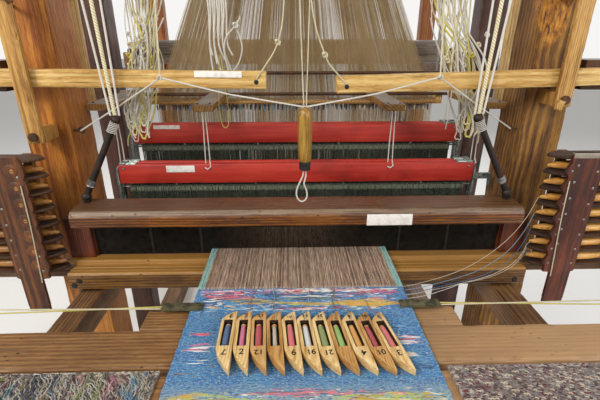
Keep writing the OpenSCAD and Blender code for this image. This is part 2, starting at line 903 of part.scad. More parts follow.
module box_lever_right() {
    color([0.85, 0.66, 0.40]) box_lever(101, -1.6);
}

module picking_handle() {
    color([0.62, 0.40, 0.20])
        translate([handle_x, handle_y, handle_bottom])
            rotate_extrude($fn = 48)
                polygon([
                    [0, 0], [13, 0], [15, 4], [15, 24], [17, 30], [18.5, 90], [18, 140],
                    [14, 155], [6, 163], [0, 163]
                ]);
}

ring_left = [-353, -520, 1413];
ring_right = [364, -520, 1413];

module picking_cords() {
    top = [handle_x, handle_y, handle_top];
    color([0.93, 0.91, 0.85]) {
        span(top + [-10, 0, 1], ring_left, 2, 0, 6);
        span(top + [10, 0, 1], ring_right, 2, 0, 6);
        span(ring_left, [-side_in + 23, post_front_y + 4, cord_eye_z], 2, 6, 0);
        span(ring_right, [side_in - 23, post_front_y + 4, cord_eye_z], 2, 6, 0);
        for (p = [ring_left, ring_right]) {
            span(p, [p[0], post_front_y + 24, post_top], 2, 6, 1);
            translate(p) sphere(r = 5.3, $fn = 24);
        }
        for (s = [-1, 1])
            span(top + [s * 3, 0, 1], [handle_x + s * 30, post_front_y + 26, post_top], 1.5, 0, 1);
    }
}

// Heddle frames

heddle_n = 28;
heddle_r = 0.8;

lift_bar_z = post_top - 20;
arm_low = jack_rod_z - arm_t / 2 - 2;

module tie_cord(x, y, z0, z1) {
    translate([x, y, z0]) cylinder(h = z1 - z0, r = 2, $fn = 16);
}

module heddle_frame(k) {
    y = shaft_y[k];
    z = shaft_z[k];
    top = z + bar_h / 2;
    low = shaft_low + (k > 1 ? -20 : 0);
    color([0.70, 0.10, 0.08]) {
        timber_x(-shaft_half + 12, shaft_half - 12, y - bar_t / 2, z - bar_h / 2, bar_t, bar_h, 3);
        timber_x(-shaft_half + 12, shaft_half - 12, y - bar_t / 2, low, bar_t, 40, 3);
    }
    color([0.62, 0.62, 0.60]) {
        both_sides() {
            block(shaft_half - 12, y - 9, low - 6, 12, 18, top - low + 12);
            block(shaft_half - 40, y - 10, top, 28, 20, 6);
        }
        rod_x(-shaft_half + 12, shaft_half - 12, y, z - bar_h / 2 - 12, 3);
        rod_x(-shaft_half + 12, shaft_half - 12, y, low + 52, 3);
    }
    color([0.92, 0.90, 0.84]) {
        if (k == 0)
            for (x = inner_arms)
                tie_cord(x, y, top, arm_low - 1.5);
        if (k == 1)
            for (x = [-574, 585])
                tie_cord(x, y, top + 6, arm_low - 1.5);
        if (k > 1) {
            both_sides() tie_cord(536, y, top, lift_bar_z);
            tie_cord(hook_x(k), y, lift_bar_z + 26, hook_rail_z + hook_rail_t + 4);
            translate([hook_x(k), y, hook_rail_z + hook_rail_t + gap]) cylinder(h = 12, r = 7);
        }
    }
    if (k > 1)
        color([0.60, 0.44, 0.26]) timber_x(-580, 580, y - 9, lift_bar_z, 18, 26, 2);
    color([0.25, 0.28, 0.22])
        for (i = [0 : heddle_n - 1])
            let (x = (2 * i - heddle_n + 1) * 2 * ribbon_pitch + (k % 2) * ribbon_pitch)
                translate([x, y, low + 40]) cylinder(h = z - bar_h / 2 - low - 40, r = heddle_r, $fn = 16);
}

module heddle_frame_1() {
    heddle_frame(0);
}

module heddle_frame_2() {
    heddle_frame(1);
}

module heddle_frame_3() {
    heddle_frame(2);
}

module heddle_frame_4() {
    heddle_frame(3);
}

// Jack arm from the rod forward to its tip over a heddle frame
module jack_arm(x, w, tip_y) {
    z = jack_rod_z;
    difference() {
        union() {
            block(x - w / 2, tip_y - 12, z - arm_t / 2 - 2, w, jack_rod_y - tip_y + 12, arm_t);
            rod_x(x - w / 2, x + w / 2, jack_rod_y, z, 16);
        }
        rod_x(x - w / 2 - 1, x + w / 2 + 1, jack_rod_y, z, jack_rod_r + run_gap);
    }
}

module jack_arms_inner() {
    color([0.55, 0.48, 0.40])
        for (x = inner_arms)
            jack_arm(x, 64, shaft_y[0]);
}

module jack_arms_outer() {
    color([0.48, 0.40, 0.32])
        for (x = outer_arms)
            jack_arm(x, 84, shaft_y[1]);
}

// Harness

board_t = 12;
board_y0 = -30;
board_y1 = 60;
function harness_x(i) = (2 * i - board_holes + 1) * ribbon_pitch;
function harness_y(i) = i % 2 == 0 ? fixed_rows[floor(i / 2) % 2] : lifted_rows[floor(i / 2) % 2];
function neck_y(y) = 15 + (y - 15) * 0.6;

module comber_board() {
    color([0.78, 0.60, 0.30])
        difference() {
            block(-560, board_y0, board_z, 1120, board_y1 - board_y0, board_t);
            for (i = [0 : board_holes - 1])
                translate([harness_x(i), harness_y(i), board_z - 1])
                    cylinder(h = board_t + 2, r = 3, $fn = 16);
        }
}

// Cord from the head down through the board to its weight, broken where it bends
module harness_cord(i, top_z) {
    x = harness_x(i);
    y = harness_y(i);
    nx = x * neck_half / harness_half;
    ny = neck_y(y);
    rod([x, y, board_z + board_t + 1], [nx, ny, neck_z], cord_r);
    translate([nx, ny, neck_z + 0.5]) cylinder(h = top_z - neck_z - 0.5, r = cord_r, $fn = 16);
    translate([x, y, lingo_top]) cylinder(h = board_z + board_t - lingo_top, r = cord_r, $fn = 16);
    translate([x, y, lingo_top - lingo_len]) cylinder(h = lingo_len, r = 3, $fn = 16);
}

module harness_fixed() {
    color([0.60, 0.50, 0.34])
        for (i = [0 : 2 : board_holes - 1]) {
            harness_cord(i, head_board_top);
            translate([harness_x(i) * neck_half / harness_half, neck_y(harness_y(i)), head_board_top + gap])
                cylinder(h = 30, r = 2.6, $fn = 16);
        }
}

module harness_lifted() {
    color([0.60, 0.50, 0.34])
        for (i = [1 : 2 : board_holes - 1])
            harness_cord(i, griffe_z + 4);
}

module comber_hangers() {
    color([0.80, 0.68, 0.48])
        both_sides() {
            timber_z(side_x - 55, -200, 1296, post_top, 40, 20, 2);
            block(540, board_y0 + 4, board_z + board_t, 22, board_y1 - board_y0 - 8, 30);
            rod([551, 40, board_z + board_t + 29], [551, top_bar_y[1] + 7, post_top - 0.5], 6);
        }
}

// Head above the harness

head_x = 330;
head_y0 = -130;
head_y1 = 170;
head_z0 = post_top + top_rail_h;
head_h = 420;
head_board_top = head_z0 + 20;
hook_rail_z = head_z0 + 60;
hook_rail_t = 30;
function hook_x(k) = k == 2 ? -120 : 120;

module head_frame() {
    color([0.46, 0.30, 0.17]) {
        // Bearers from the front cross beam to the one behind
        both_sides() timber_y(head_x - 30, top_bar_y[0], top_bar_y[1] + 80, head_z0, 60, 60);
        both_sides() {
            for (y = [head_y0, head_y1 - 60])
                timber_z(head_x - 25, y, head_z0 + 60, head_z0 + head_h, 50, 60);
            timber_y(head_x - 25, head_y0 + 60, head_y1 - 60, head_z0 + head_h - 70, 50, 60);
        }
        for (y = [head_y0, head_y1 - 60])
            timber_x(-head_x + 12, head_x - 12, y, head_z0 + head_h - 70, 60, 60);
        // Arms that carry the card cylinder
        both_sides()
            difference() {
                block(head_x - 25, cylinder_y - 25, cylinder_z - 25, 20, head_y0 - cylinder_y + 25, 50);
                rod_x(head_x - 26, head_x - 4, cylinder_y, cylinder_z, 8 + run_gap);
            }
        // Rail on which the rear heddle frames hang by knots
        difference() {
            timber_x(-head_x, head_x, head_y0 - 62, hook_rail_z, 62, hook_rail_t, 2);
            for (k = [2, 3])
                translate([hook_x(k), shaft_y[k], hook_rail_z - 1]) cylinder(h = hook_rail_t + 2, r = 3.5);
        }
        // Board through which the neck cords pass
        difference() {
            block(-head_x + 25, -60, head_z0 + 6, 2 * head_x - 50, 150, 14);
            for (i = [0 : board_holes - 1])
                translate([harness_x(i) * neck_half / harness_half, neck_y(harness_y(i)), head_z0])
                    cylinder(h = 24, r = 2.2, $fn = 16);
        }
    }
}

griffe_z = head_z0 + 150;
griffe_half = head_x - 25 - gap;

module griffe() {
    color([0.35, 0.33, 0.32]) {
        both_sides() block(griffe_half - 14, head_y0, griffe_z, 14, head_y1 - head_y0, 36);
        for (y = [neck_y(lifted_rows[0]), neck_y(lifted_rows[1])])
            block(-griffe_half + 14, y - 2.5, griffe_z + 4, 2 * griffe_half - 28, 5, 28);
        block(-griffe_half, 9, griffe_z + 36, 2 * griffe_half, 12, 24);
        block(-20, 9, griffe_z + 60, 40, 12, 130);
    }
}

cylinder_z = griffe_z + 60;
cylinder_y = head_y0 - 70;

module card_cylinder() {
    color([0.58, 0.40, 0.22]) {
        block(-220, cylinder_y - 30, cylinder_z - 30, 440, 60, 60);
        rod_x(-head_x + 6, head_x - 6, cylinder_y, cylinder_z, 8);
    }
}

module treadle() {
    color([0.45, 0.28, 0.15])
        difference() {
            timber_y(-33, treadle_y0, treadle_y1 + 25, treadle_pin_z - 20, 66, 40, 3);
            rod_x(-46, 46, treadle_y1, treadle_pin_z, treadle_pin_r + run_gap);
        }
}

// Warp

module warp_sheet() {
    x0 = -(ribbons - 1) / 2 * ribbon_pitch;
    color([0.50, 0.40, 0.36])
        for (i = [0 : ribbons - 1])
            block(x0 + i * ribbon_pitch - ribbon_w / 2, fell_y, warp_bottom, ribbon_w,
                back_rest_y - fell_y, ribbon_t);
}

module back_rest() {
    color([0.55, 0.38, 0.20]) {
        rod_x(-side_x - 20, side_x + 20, back_rest_y, warp_bottom - back_rest_r, back_rest_r);
        rod_x(-side_x + 60, side_x - 60, 330, warp_top + 8, 8);
        rod_x(-side_x + 60, side_x - 60, 400, warp_bottom - 8, 8);
    }
}

module warp_beam() {
    color([0.46, 0.34, 0.28]) {
        rod_x(-side_x - 12, side_x + 12, warp_beam_y, warp_beam_z, gudgeon_r);
        rod_x(-side_x + 60, side_x - 60, warp_beam_y, warp_beam_z, 70);
        rod_x(-cloth_w / 2, cloth_w / 2, warp_beam_y, warp_beam_z, warp_roll_r);
        both_sides() rod_x(cloth_w / 2, cloth_w / 2 + 14, warp_beam_y, warp_beam_z, 160);
    }
}

module upper_roller() {
    color([0.84, 0.80, 0.70]) {
        rod_x(-side_x - 12, side_x + 12, roller_y, roller_z, gudgeon_r);
        rod_x(-side_x + 60, side_x - 60, roller_y, roller_z, roller_r - 6);
        rod_x(-510, 510, roller_y, roller_z, roller_r);
    }
}

// Loose yarns and the loop below the handle

module weft_yarn_1() {
    color([0.90, 0.86, 0.74]) tube(yarn_routes[0], 0.8);
}

module weft_yarn_2() {
    color([0.45, 0.68, 0.82]) tube(yarn_routes[1], 0.8);
}

module weft_yarn_3() {
    color([0.16, 0.30, 0.66]) tube(yarn_routes[2], 0.8);
}

module handle_loop() {
    color([0.93, 0.91, 0.85]) tube(loop_route, 2);
}

floor_frame();
side_rails();
end_legs();
front_post_left();
front_post_right();
inner_posts();
top_frame();
roller_rails();
guide_straps();
iron_fittings();
knee_board();
under_board();
breast_beam();
breast_pads();
brocade_cloth();
temple_cords();
brocade_shuttles();
cloth_beam();
ratchet_wheel();
pawl();
handrail();
reed();
race_beam();
hanger_rods();
batten_ropes();
rocking_bar();
box_plate_left();
box_plate_right();
box_shelves_left();
box_shelves_right();
box_shuttles_left();
box_shuttles_right();
picker_left();
picker_right();
box_lever_left();
box_lever_right();
picking_handle();
picking_cords();
heddle_frame_1();
heddle_frame_2();
heddle_frame_3();
heddle_frame_4();
jack_arms_inner();
jack_arms_outer();
comber_board();
harness_fixed();
harness_lifted();
comber_hangers();
head_frame();
griffe();
card_cylinder();
treadle();
warp_sheet();
back_rest();
warp_beam();
upper_roller();
weft_yarn_1();
weft_yarn_2();
weft_yarn_3();
handle_loop();
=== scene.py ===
"""Looks of the hand loom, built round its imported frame. Metres, +X right, +Y away from the weaver, +Z up."""
import math
import random

import bpy
from mathutils import Matrix, Vector, noise


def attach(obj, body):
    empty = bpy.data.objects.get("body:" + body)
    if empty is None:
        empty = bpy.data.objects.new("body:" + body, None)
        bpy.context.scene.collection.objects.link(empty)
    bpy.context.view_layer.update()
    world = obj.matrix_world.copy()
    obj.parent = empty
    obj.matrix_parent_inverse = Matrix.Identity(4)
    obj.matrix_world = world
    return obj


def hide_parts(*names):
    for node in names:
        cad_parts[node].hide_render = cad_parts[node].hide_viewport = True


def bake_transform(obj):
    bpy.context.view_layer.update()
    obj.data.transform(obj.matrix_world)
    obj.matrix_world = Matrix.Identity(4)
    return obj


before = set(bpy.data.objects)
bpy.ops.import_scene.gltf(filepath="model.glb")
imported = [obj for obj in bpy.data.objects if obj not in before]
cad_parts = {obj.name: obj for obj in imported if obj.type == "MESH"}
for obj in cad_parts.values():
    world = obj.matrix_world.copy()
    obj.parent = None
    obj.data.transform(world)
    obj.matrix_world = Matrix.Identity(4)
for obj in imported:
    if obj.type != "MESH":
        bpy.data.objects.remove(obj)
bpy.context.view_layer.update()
RND = random.Random(11)
PITCH = 0.532 / 59     # from one ribbon of warp to the next

# Camera at the photograph's angle
cam = bpy.data.objects.new("camera", bpy.data.cameras.new("camera"))
bpy.context.scene.collection.objects.link(cam)
cam.data.lens, cam.data.sensor_width = 24, 36
cam.location = (-0.025, -1.585, 1.510)
cam.rotation_euler = (math.radians(90 - 22.2), 0, math.radians(-1.4585))
cam.data.clip_start = 0.05
bpy.context.scene.camera = cam
bpy.context.scene.view_settings.view_transform = "Standard"


# Materials

def rgb(code):
    """Linear colour of a hex code."""
    return tuple(((c / 255 + 0.055) / 1.055) ** 2.4 if c > 10 else c / 3294 for c in bytes.fromhex(code))


class Graph:
    """A material's node tree, written as calls."""

    def __init__(self, name):
        self.mat = bpy.data.materials.new(name)
        self.mat.use_nodes = True
        self.t = self.mat.node_tree
        self.t.nodes.clear()
        self.co = self.node("TexCoord")

    def node(self, kind, ins=None, **props):
        n = self.t.nodes.new("ShaderNode" + kind)
        for k, v in props.items():
            setattr(n, k, v)
        for k, v in (ins or {}).items():
            if isinstance(v, bpy.types.NodeSocket):
                self.t.links.new(v, n.inputs[k])
            elif isinstance(v, tuple) and len(v) == 3 and n.inputs[k].type == "RGBA":
                n.inputs[k].default_value = (*v, 1)
            else:
                n.inputs[k].default_value = v
        return n

    def place(self, scale=(1, 1, 1), move=(0, 0, 0), source="Object"):
        return self.node("Mapping", {"Vector": self.co.outputs[source], "Location": move, "Scale": scale}).outputs[0]

    def noise(self, vec, scale, detail=2.0, rough=0.55, bend=0.0):
        return self.node("TexNoise", {"Vector": vec, "Scale": scale, "Detail": detail, "Roughness": rough,
                                      "Distortion": bend}).outputs[0]

    def cells(self, vec, scale, out="Distance"):
        return self.node("TexVoronoi", {"Vector": vec, "Scale": scale}, feature="F1").outputs[out]

    def wave(self, vec, scale, bend=0.0, kind="RINGS", way="X", detail=2.0, bend_scale=0.6):
        props = {"wave_type": kind, ("rings_direction" if kind == "RINGS" else "bands_direction"): way}
        return self.node("TexWave", {"Vector": vec, "Scale": scale, "Distortion": bend, "Detail": detail,
                                     "Detail Scale": bend_scale}, **props).outputs[1]

    def span(self, value, a, b, low=0.0, high=1.0):
        return self.node("MapRange", {0: value, 1: a, 2: b, 3: low, 4: high},
                         interpolation_type="SMOOTHSTEP").outputs[0]

    def math(self, op, a, b=0.0):
        return self.node("Math", {0: a, 1: b}, operation=op).outputs[0]

    def mul(self, a, b):
        return self.math("MULTIPLY", a, b)

    def plus(self, a, b):
        return self.math("ADD", a, b)

    def mix(self, share, a, b, mode="MIX"):
        return self.node("Mix", {0: share, 6: a, 7: b}, data_type="RGBA", blend_type=mode).outputs[2]

    def ramp(self, value, stops):
        n = self.node("ValToRGB", {0: value})
        while len(n.color_ramp.elements) < len(stops):
            n.color_ramp.elements.new(0.5)
        for e, (p, c) in zip(n.color_ramp.elements, stops):
            e.position, e.color = p, (*c, 1)
        return n.outputs[0]

    def axis(self, vec, i):
        return self.node("SeparateXYZ", {0: vec}).outputs[i]

    def bump(self, height, size):
        return self.node("Bump", {"Strength": 1.0, "Distance": size, "Height": height}).outputs[0]

    def done(self, colour, rough=0.6, normal=None, metal=0.0, **more):
        ins = {"Base Color": colour, "Roughness": rough, "Metallic": metal, **more}
        if normal:
            ins["Normal"] = normal
        out = self.node("OutputMaterial")
        self.t.links.new(self.node("BsdfPrincipled", ins).outputs[0], out.inputs[0])
        return self.mat


# Noise is stretched along the fibres, which run along this axis
AXES = {"X": (0.07, 1, 1), "Y": (1, 0.07, 1), "Z": (1, 1, 0.07)}


def wood(name, dark, mid, light, axis, pith=(0, 0, 0), ring=0.009, stain=0.5, crack=0.5, knots=0.0, holes=0.0,
         rough=(0.45, 0.75), relief=0.0005, dust=0.0, bark=None, crown=None, drift=None):
    """Timber with year rings about a pith, fibres, cracks, stains and, where asked, knots, worm holes and dust."""
    g = Graph(name)
    dark, mid, light = rgb(dark), rgb(mid), rgb(light)
    s = AXES[axis]
    long = g.place(s, tuple(-p * k for p, k in zip(pith, s)))
    plain = g.place()
    body = g.noise(plain, 5.0, 3.0)
    if knots:
        knot = g.cells(g.place(tuple(0.45 if k < 1 else 1 for k in s)), 4.5)
        knot_mask = g.span(knot, 0.02 + 0.10 * knots, 0.0)
        knot_ring = g.math("SINE", g.mul(knot, 190.0))
    rings = g.wave(long, 0.314 / ring, 3.5, "RINGS", axis)
    fibre = g.noise(long, 650.0, 3.0, 0.65)
    coarse = g.noise(long, 120.0, 4.0, 0.6, 0.6)
    tone = g.plus(g.mul(rings, 0.17), g.plus(g.mul(fibre, 0.50), g.mul(coarse, 0.58)))
    colour = g.ramp(tone, [(0.42, dark), (0.59, mid), (0.79, light)])
    colour = g.mix(g.mul(g.span(body, 0.42, 0.74), 0.85 * stain), colour, dark)
    colour = g.mix(g.span(body, 0.52, 0.28, 0.0, 0.35), colour, light)
    split = g.noise(g.place(tuple(k * (0.35 if k < 1 else 1) for k in s)), 90.0, 3.0, 0.5, 0.4)
    split_mask = g.mul(g.span(split, 0.66 - 0.05 * crack, 0.74), crack)
    colour = g.mix(split_mask, colour, tuple(c * 0.25 for c in dark))
    height = g.math("SUBTRACT", g.plus(fibre, g.mul(rings, 0.4)), g.mul(split_mask, 2.0))
    if knots:
        shade = g.mix(g.span(knot_ring, -1.0, 1.0), dark, tuple(c * 0.45 for c in dark))
        colour = g.mix(g.mul(knot_mask, 0.85), colour, shade)
        height = g.plus(height, g.mul(knot_mask, 0.8))
    if holes:
        worm = g.cells(g.place(tuple(0.5 if k < 1 else 1 for k in s)), 70.0)
        few = g.span(g.noise(plain, 9.0), 0.50, 0.60)
        worm_mask = g.mul(g.span(worm, 0.13 + 0.10 * holes, 0.07), few)
        colour = g.mix(worm_mask, colour, (0.012, 0.007, 0.004))
        height = g.math("SUBTRACT", height, g.mul(worm_mask, 4.0))
    if bark:
        place, size, shade = bark
        far = g.node("VectorMath", {0: g.place(tuple(1 / k for k in size), tuple(-p / k for p, k in zip(place, size)))},
                     operation="LENGTH").outputs[1]
        edge = g.plus(far, g.mul(g.noise(g.place(), 30.0, 3.0), 0.7))
        grown = g.span(edge, 1.35, 1.05)
        flake = g.ramp(g.noise(g.place((1, 1, 0.3)), 110.0, 4.0, 0.7),
                       [(0.36, (0.03, 0.012, 0.004)), (0.5, rgb(shade)), (0.7, rgb("e0a640"))])
        colour = g.mix(grown, colour, flake)
    up = g.axis(g.co.outputs["Normal"], 2) if dust or crown else None
    if dust:
        veil = g.mul(g.span(up, 0.5, 0.95), g.span(g.noise(plain, 26.0, 4.0), 0.30, 0.62, 0.5 * dust, dust))
        colour = g.mix(veil, colour, rgb("9c9894"))
    if drift:
        way, a, b, shade, share = drift
        colour = g.mix(g.span(g.axis(plain, way), a, b, 0.0, share), colour, rgb(shade))
    # Crown: up-facing faces take the rubbed top's tone with a painted sheen, and the arris between top and front a
    # paler painted highlight.
    if crown:
        shade, share = crown
        rubbed_top_and_painted_sheen = g.mul(g.span(up, 0.35, 0.85), g.span(coarse, 0.25, 0.7, 0.55 * share, share))
        colour = g.mix(rubbed_top_and_painted_sheen, colour, rgb(shade))
        arris = g.mul(g.span(up, 0.25, 0.6), g.span(up, 0.97, 0.86))
        colour = g.mix(g.mul(arris, g.span(coarse, 0.3, 0.7, 0.15, 0.75)), colour, rgb("96836c"))
    sheen = g.span(body, 0.35, 0.7, *rough)
    return g.done(colour, sheen, g.bump(height, relief))


def paint(name, colour, worn, under):
    """Paint on wood, faded along the bar, with chips down to the undercoat."""
    g = Graph(name)
    wide = g.noise(g.place(AXES["X"]), 60.0, 4.0, 0.6)
    spots = g.noise(g.place(), 140.0, 4.0, 0.7)
    tone = g.mix(g.span(wide, 0.3, 0.7), rgb(colour), rgb(worn))
    tone = g.mix(g.span(spots, 0.66, 0.72), tone, rgb(under))
    tone = g.mix(g.span(g.noise(g.place(), 6.0), 0.5, 0.75, 0.0, 0.4), tone, rgb(under), "MULTIPLY")
    return g.done(tone, g.span(spots, 0.3, 0.7, 0.35, 0.55), g.bump(wide, 0.0002))


def metal(name, colour, spot, rough, share, shine):
    """Metal with patches of rust or tarnish."""
    g = Graph(name)
    patch = g.noise(g.place(), 45.0, 5.0, 0.65)
    fine = g.noise(g.place(), 600.0, 2.0)
    tone = g.mix(g.span(patch, 0.62 - share * 0.3, 0.70), rgb(colour), rgb(spot))
    return g.done(tone, g.span(patch, 0.4, 0.7, rough, min(rough + 0.3, 1.0)), g.bump(fine, 0.0002), metal=shine)


def fittings_mat():
    """Rusty fittings, and olive where they are the temple's plates over the cloth."""
    g = Graph("rusty_fittings")
    patch = g.noise(g.place(), 45.0, 5.0, 0.65)
    rust = g.mix(g.span(patch, 0.35, 0.70), rgb("3c2c20"), rgb("6b4426"))
    plate = g.mix(g.span(patch, 0.40, 0.62), rgb("6e6a50"), rgb("3f3b2b"))
    y, z = g.axis(g.place(), 1), g.axis(g.place(), 2)
    over = g.mul(g.span(z, 0.897, 0.899), g.mul(g.span(y, -0.84, -0.83), g.span(y, -0.76, -0.77)))
    return g.done(g.mix(over, rust, plate), g.span(patch, 0.4, 0.7, 0.5, 0.8), g.bump(patch, 0.0004), metal=0.4)


def heddle_mat(name, rod):
    """Dark steel heddles with paler loops about the rod they hang on."""
    g = Graph(name)
    z = g.axis(g.place(), 2)
    loops = g.mul(g.span(z, rod - 0.020, rod - 0.015), g.span(z, rod - 0.002, rod - 0.006))
    fleck = g.noise(g.place((1, 1, 0.4)), 520.0, 3.0, 0.7)
    tone = g.mix(g.span(fleck, 0.42, 0.62), rgb("232822"), rgb("67725f"))
    tone = g.mix(g.mul(loops, g.span(fleck, 0.35, 0.6, 0.3, 0.9)), tone, rgb("969c84"))
    return g.done(tone, g.span(fleck, 0.3, 0.7, 0.4, 0.6), metal=0.3)


def galvanised(name):
    """Zinc with its spangle and dull patches."""
    g = Graph(name)
    grain = g.cells(g.place(), 160.0, out="Color")
    tone = g.mix(g.axis(grain, 0), rgb("6f7a74"), rgb("b4bdb4"))
    tone = g.mix(g.span(g.noise(g.place(), 30.0, 4.0), 0.52, 0.68), tone, rgb("4c5148"))
    return g.done(tone, 0.42, g.bump(g.noise(g.place(), 300.0), 0.0001), metal=0.75)


def cord_mat(name, colour, shade, fuzz=0.5, turns=None):
    """Twisted cord, or yarn wound on a quill: u runs round it and v along it, in diameters."""
    g = Graph(name)
    uv = g.place(source="UV")
    twist = g.plus(g.axis(uv, 0), g.mul(g.axis(uv, 1), turns or 0.45))
    twist = g.math("SINE", g.mul(twist, 6.283 if turns else 18.85))
    hair = g.noise(g.place(), 900.0, 3.0, 0.7)
    tone = g.mix(g.span(twist, -1.0, 0.6), rgb(shade), rgb(colour))
    tone = g.mix(g.span(g.noise(g.place(), 18.0), 0.45, 0.75, 0.0, 0.5), tone, rgb(shade))
    tone = g.mix(g.mul(g.span(hair, 0.55, 0.7), fuzz), tone, rgb("f6f2e6"))
    return g.done(tone, 0.85, g.bump(g.plus(twist, hair), 0.0004), **{"Sheen Weight": 0.3})


def thread_mat(name, colour, shade):
    """Warp thread, its tone varying along its length."""
    g = Graph(name)
    vary = g.noise(g.place((1, 0.05, 1)), 420.0, 2.0)
    tone = g.mix(g.span(vary, 0.35, 0.65), rgb(shade), rgb(colour))
    return g.done(tone, 0.8, **{"Sheen Weight": 0.2})


def paper_mat():
    """Blank paper, a little soiled."""
    g = Graph("blank_paper")
    tone = g.mix(g.span(g.noise(g.place(), 60.0, 3.0), 0.4, 0.7), rgb("f3f0ea"), rgb("dcd6c8"))
    return g.done(tone, 0.8, g.bump(g.noise(g.place(), 500.0), 0.00005))


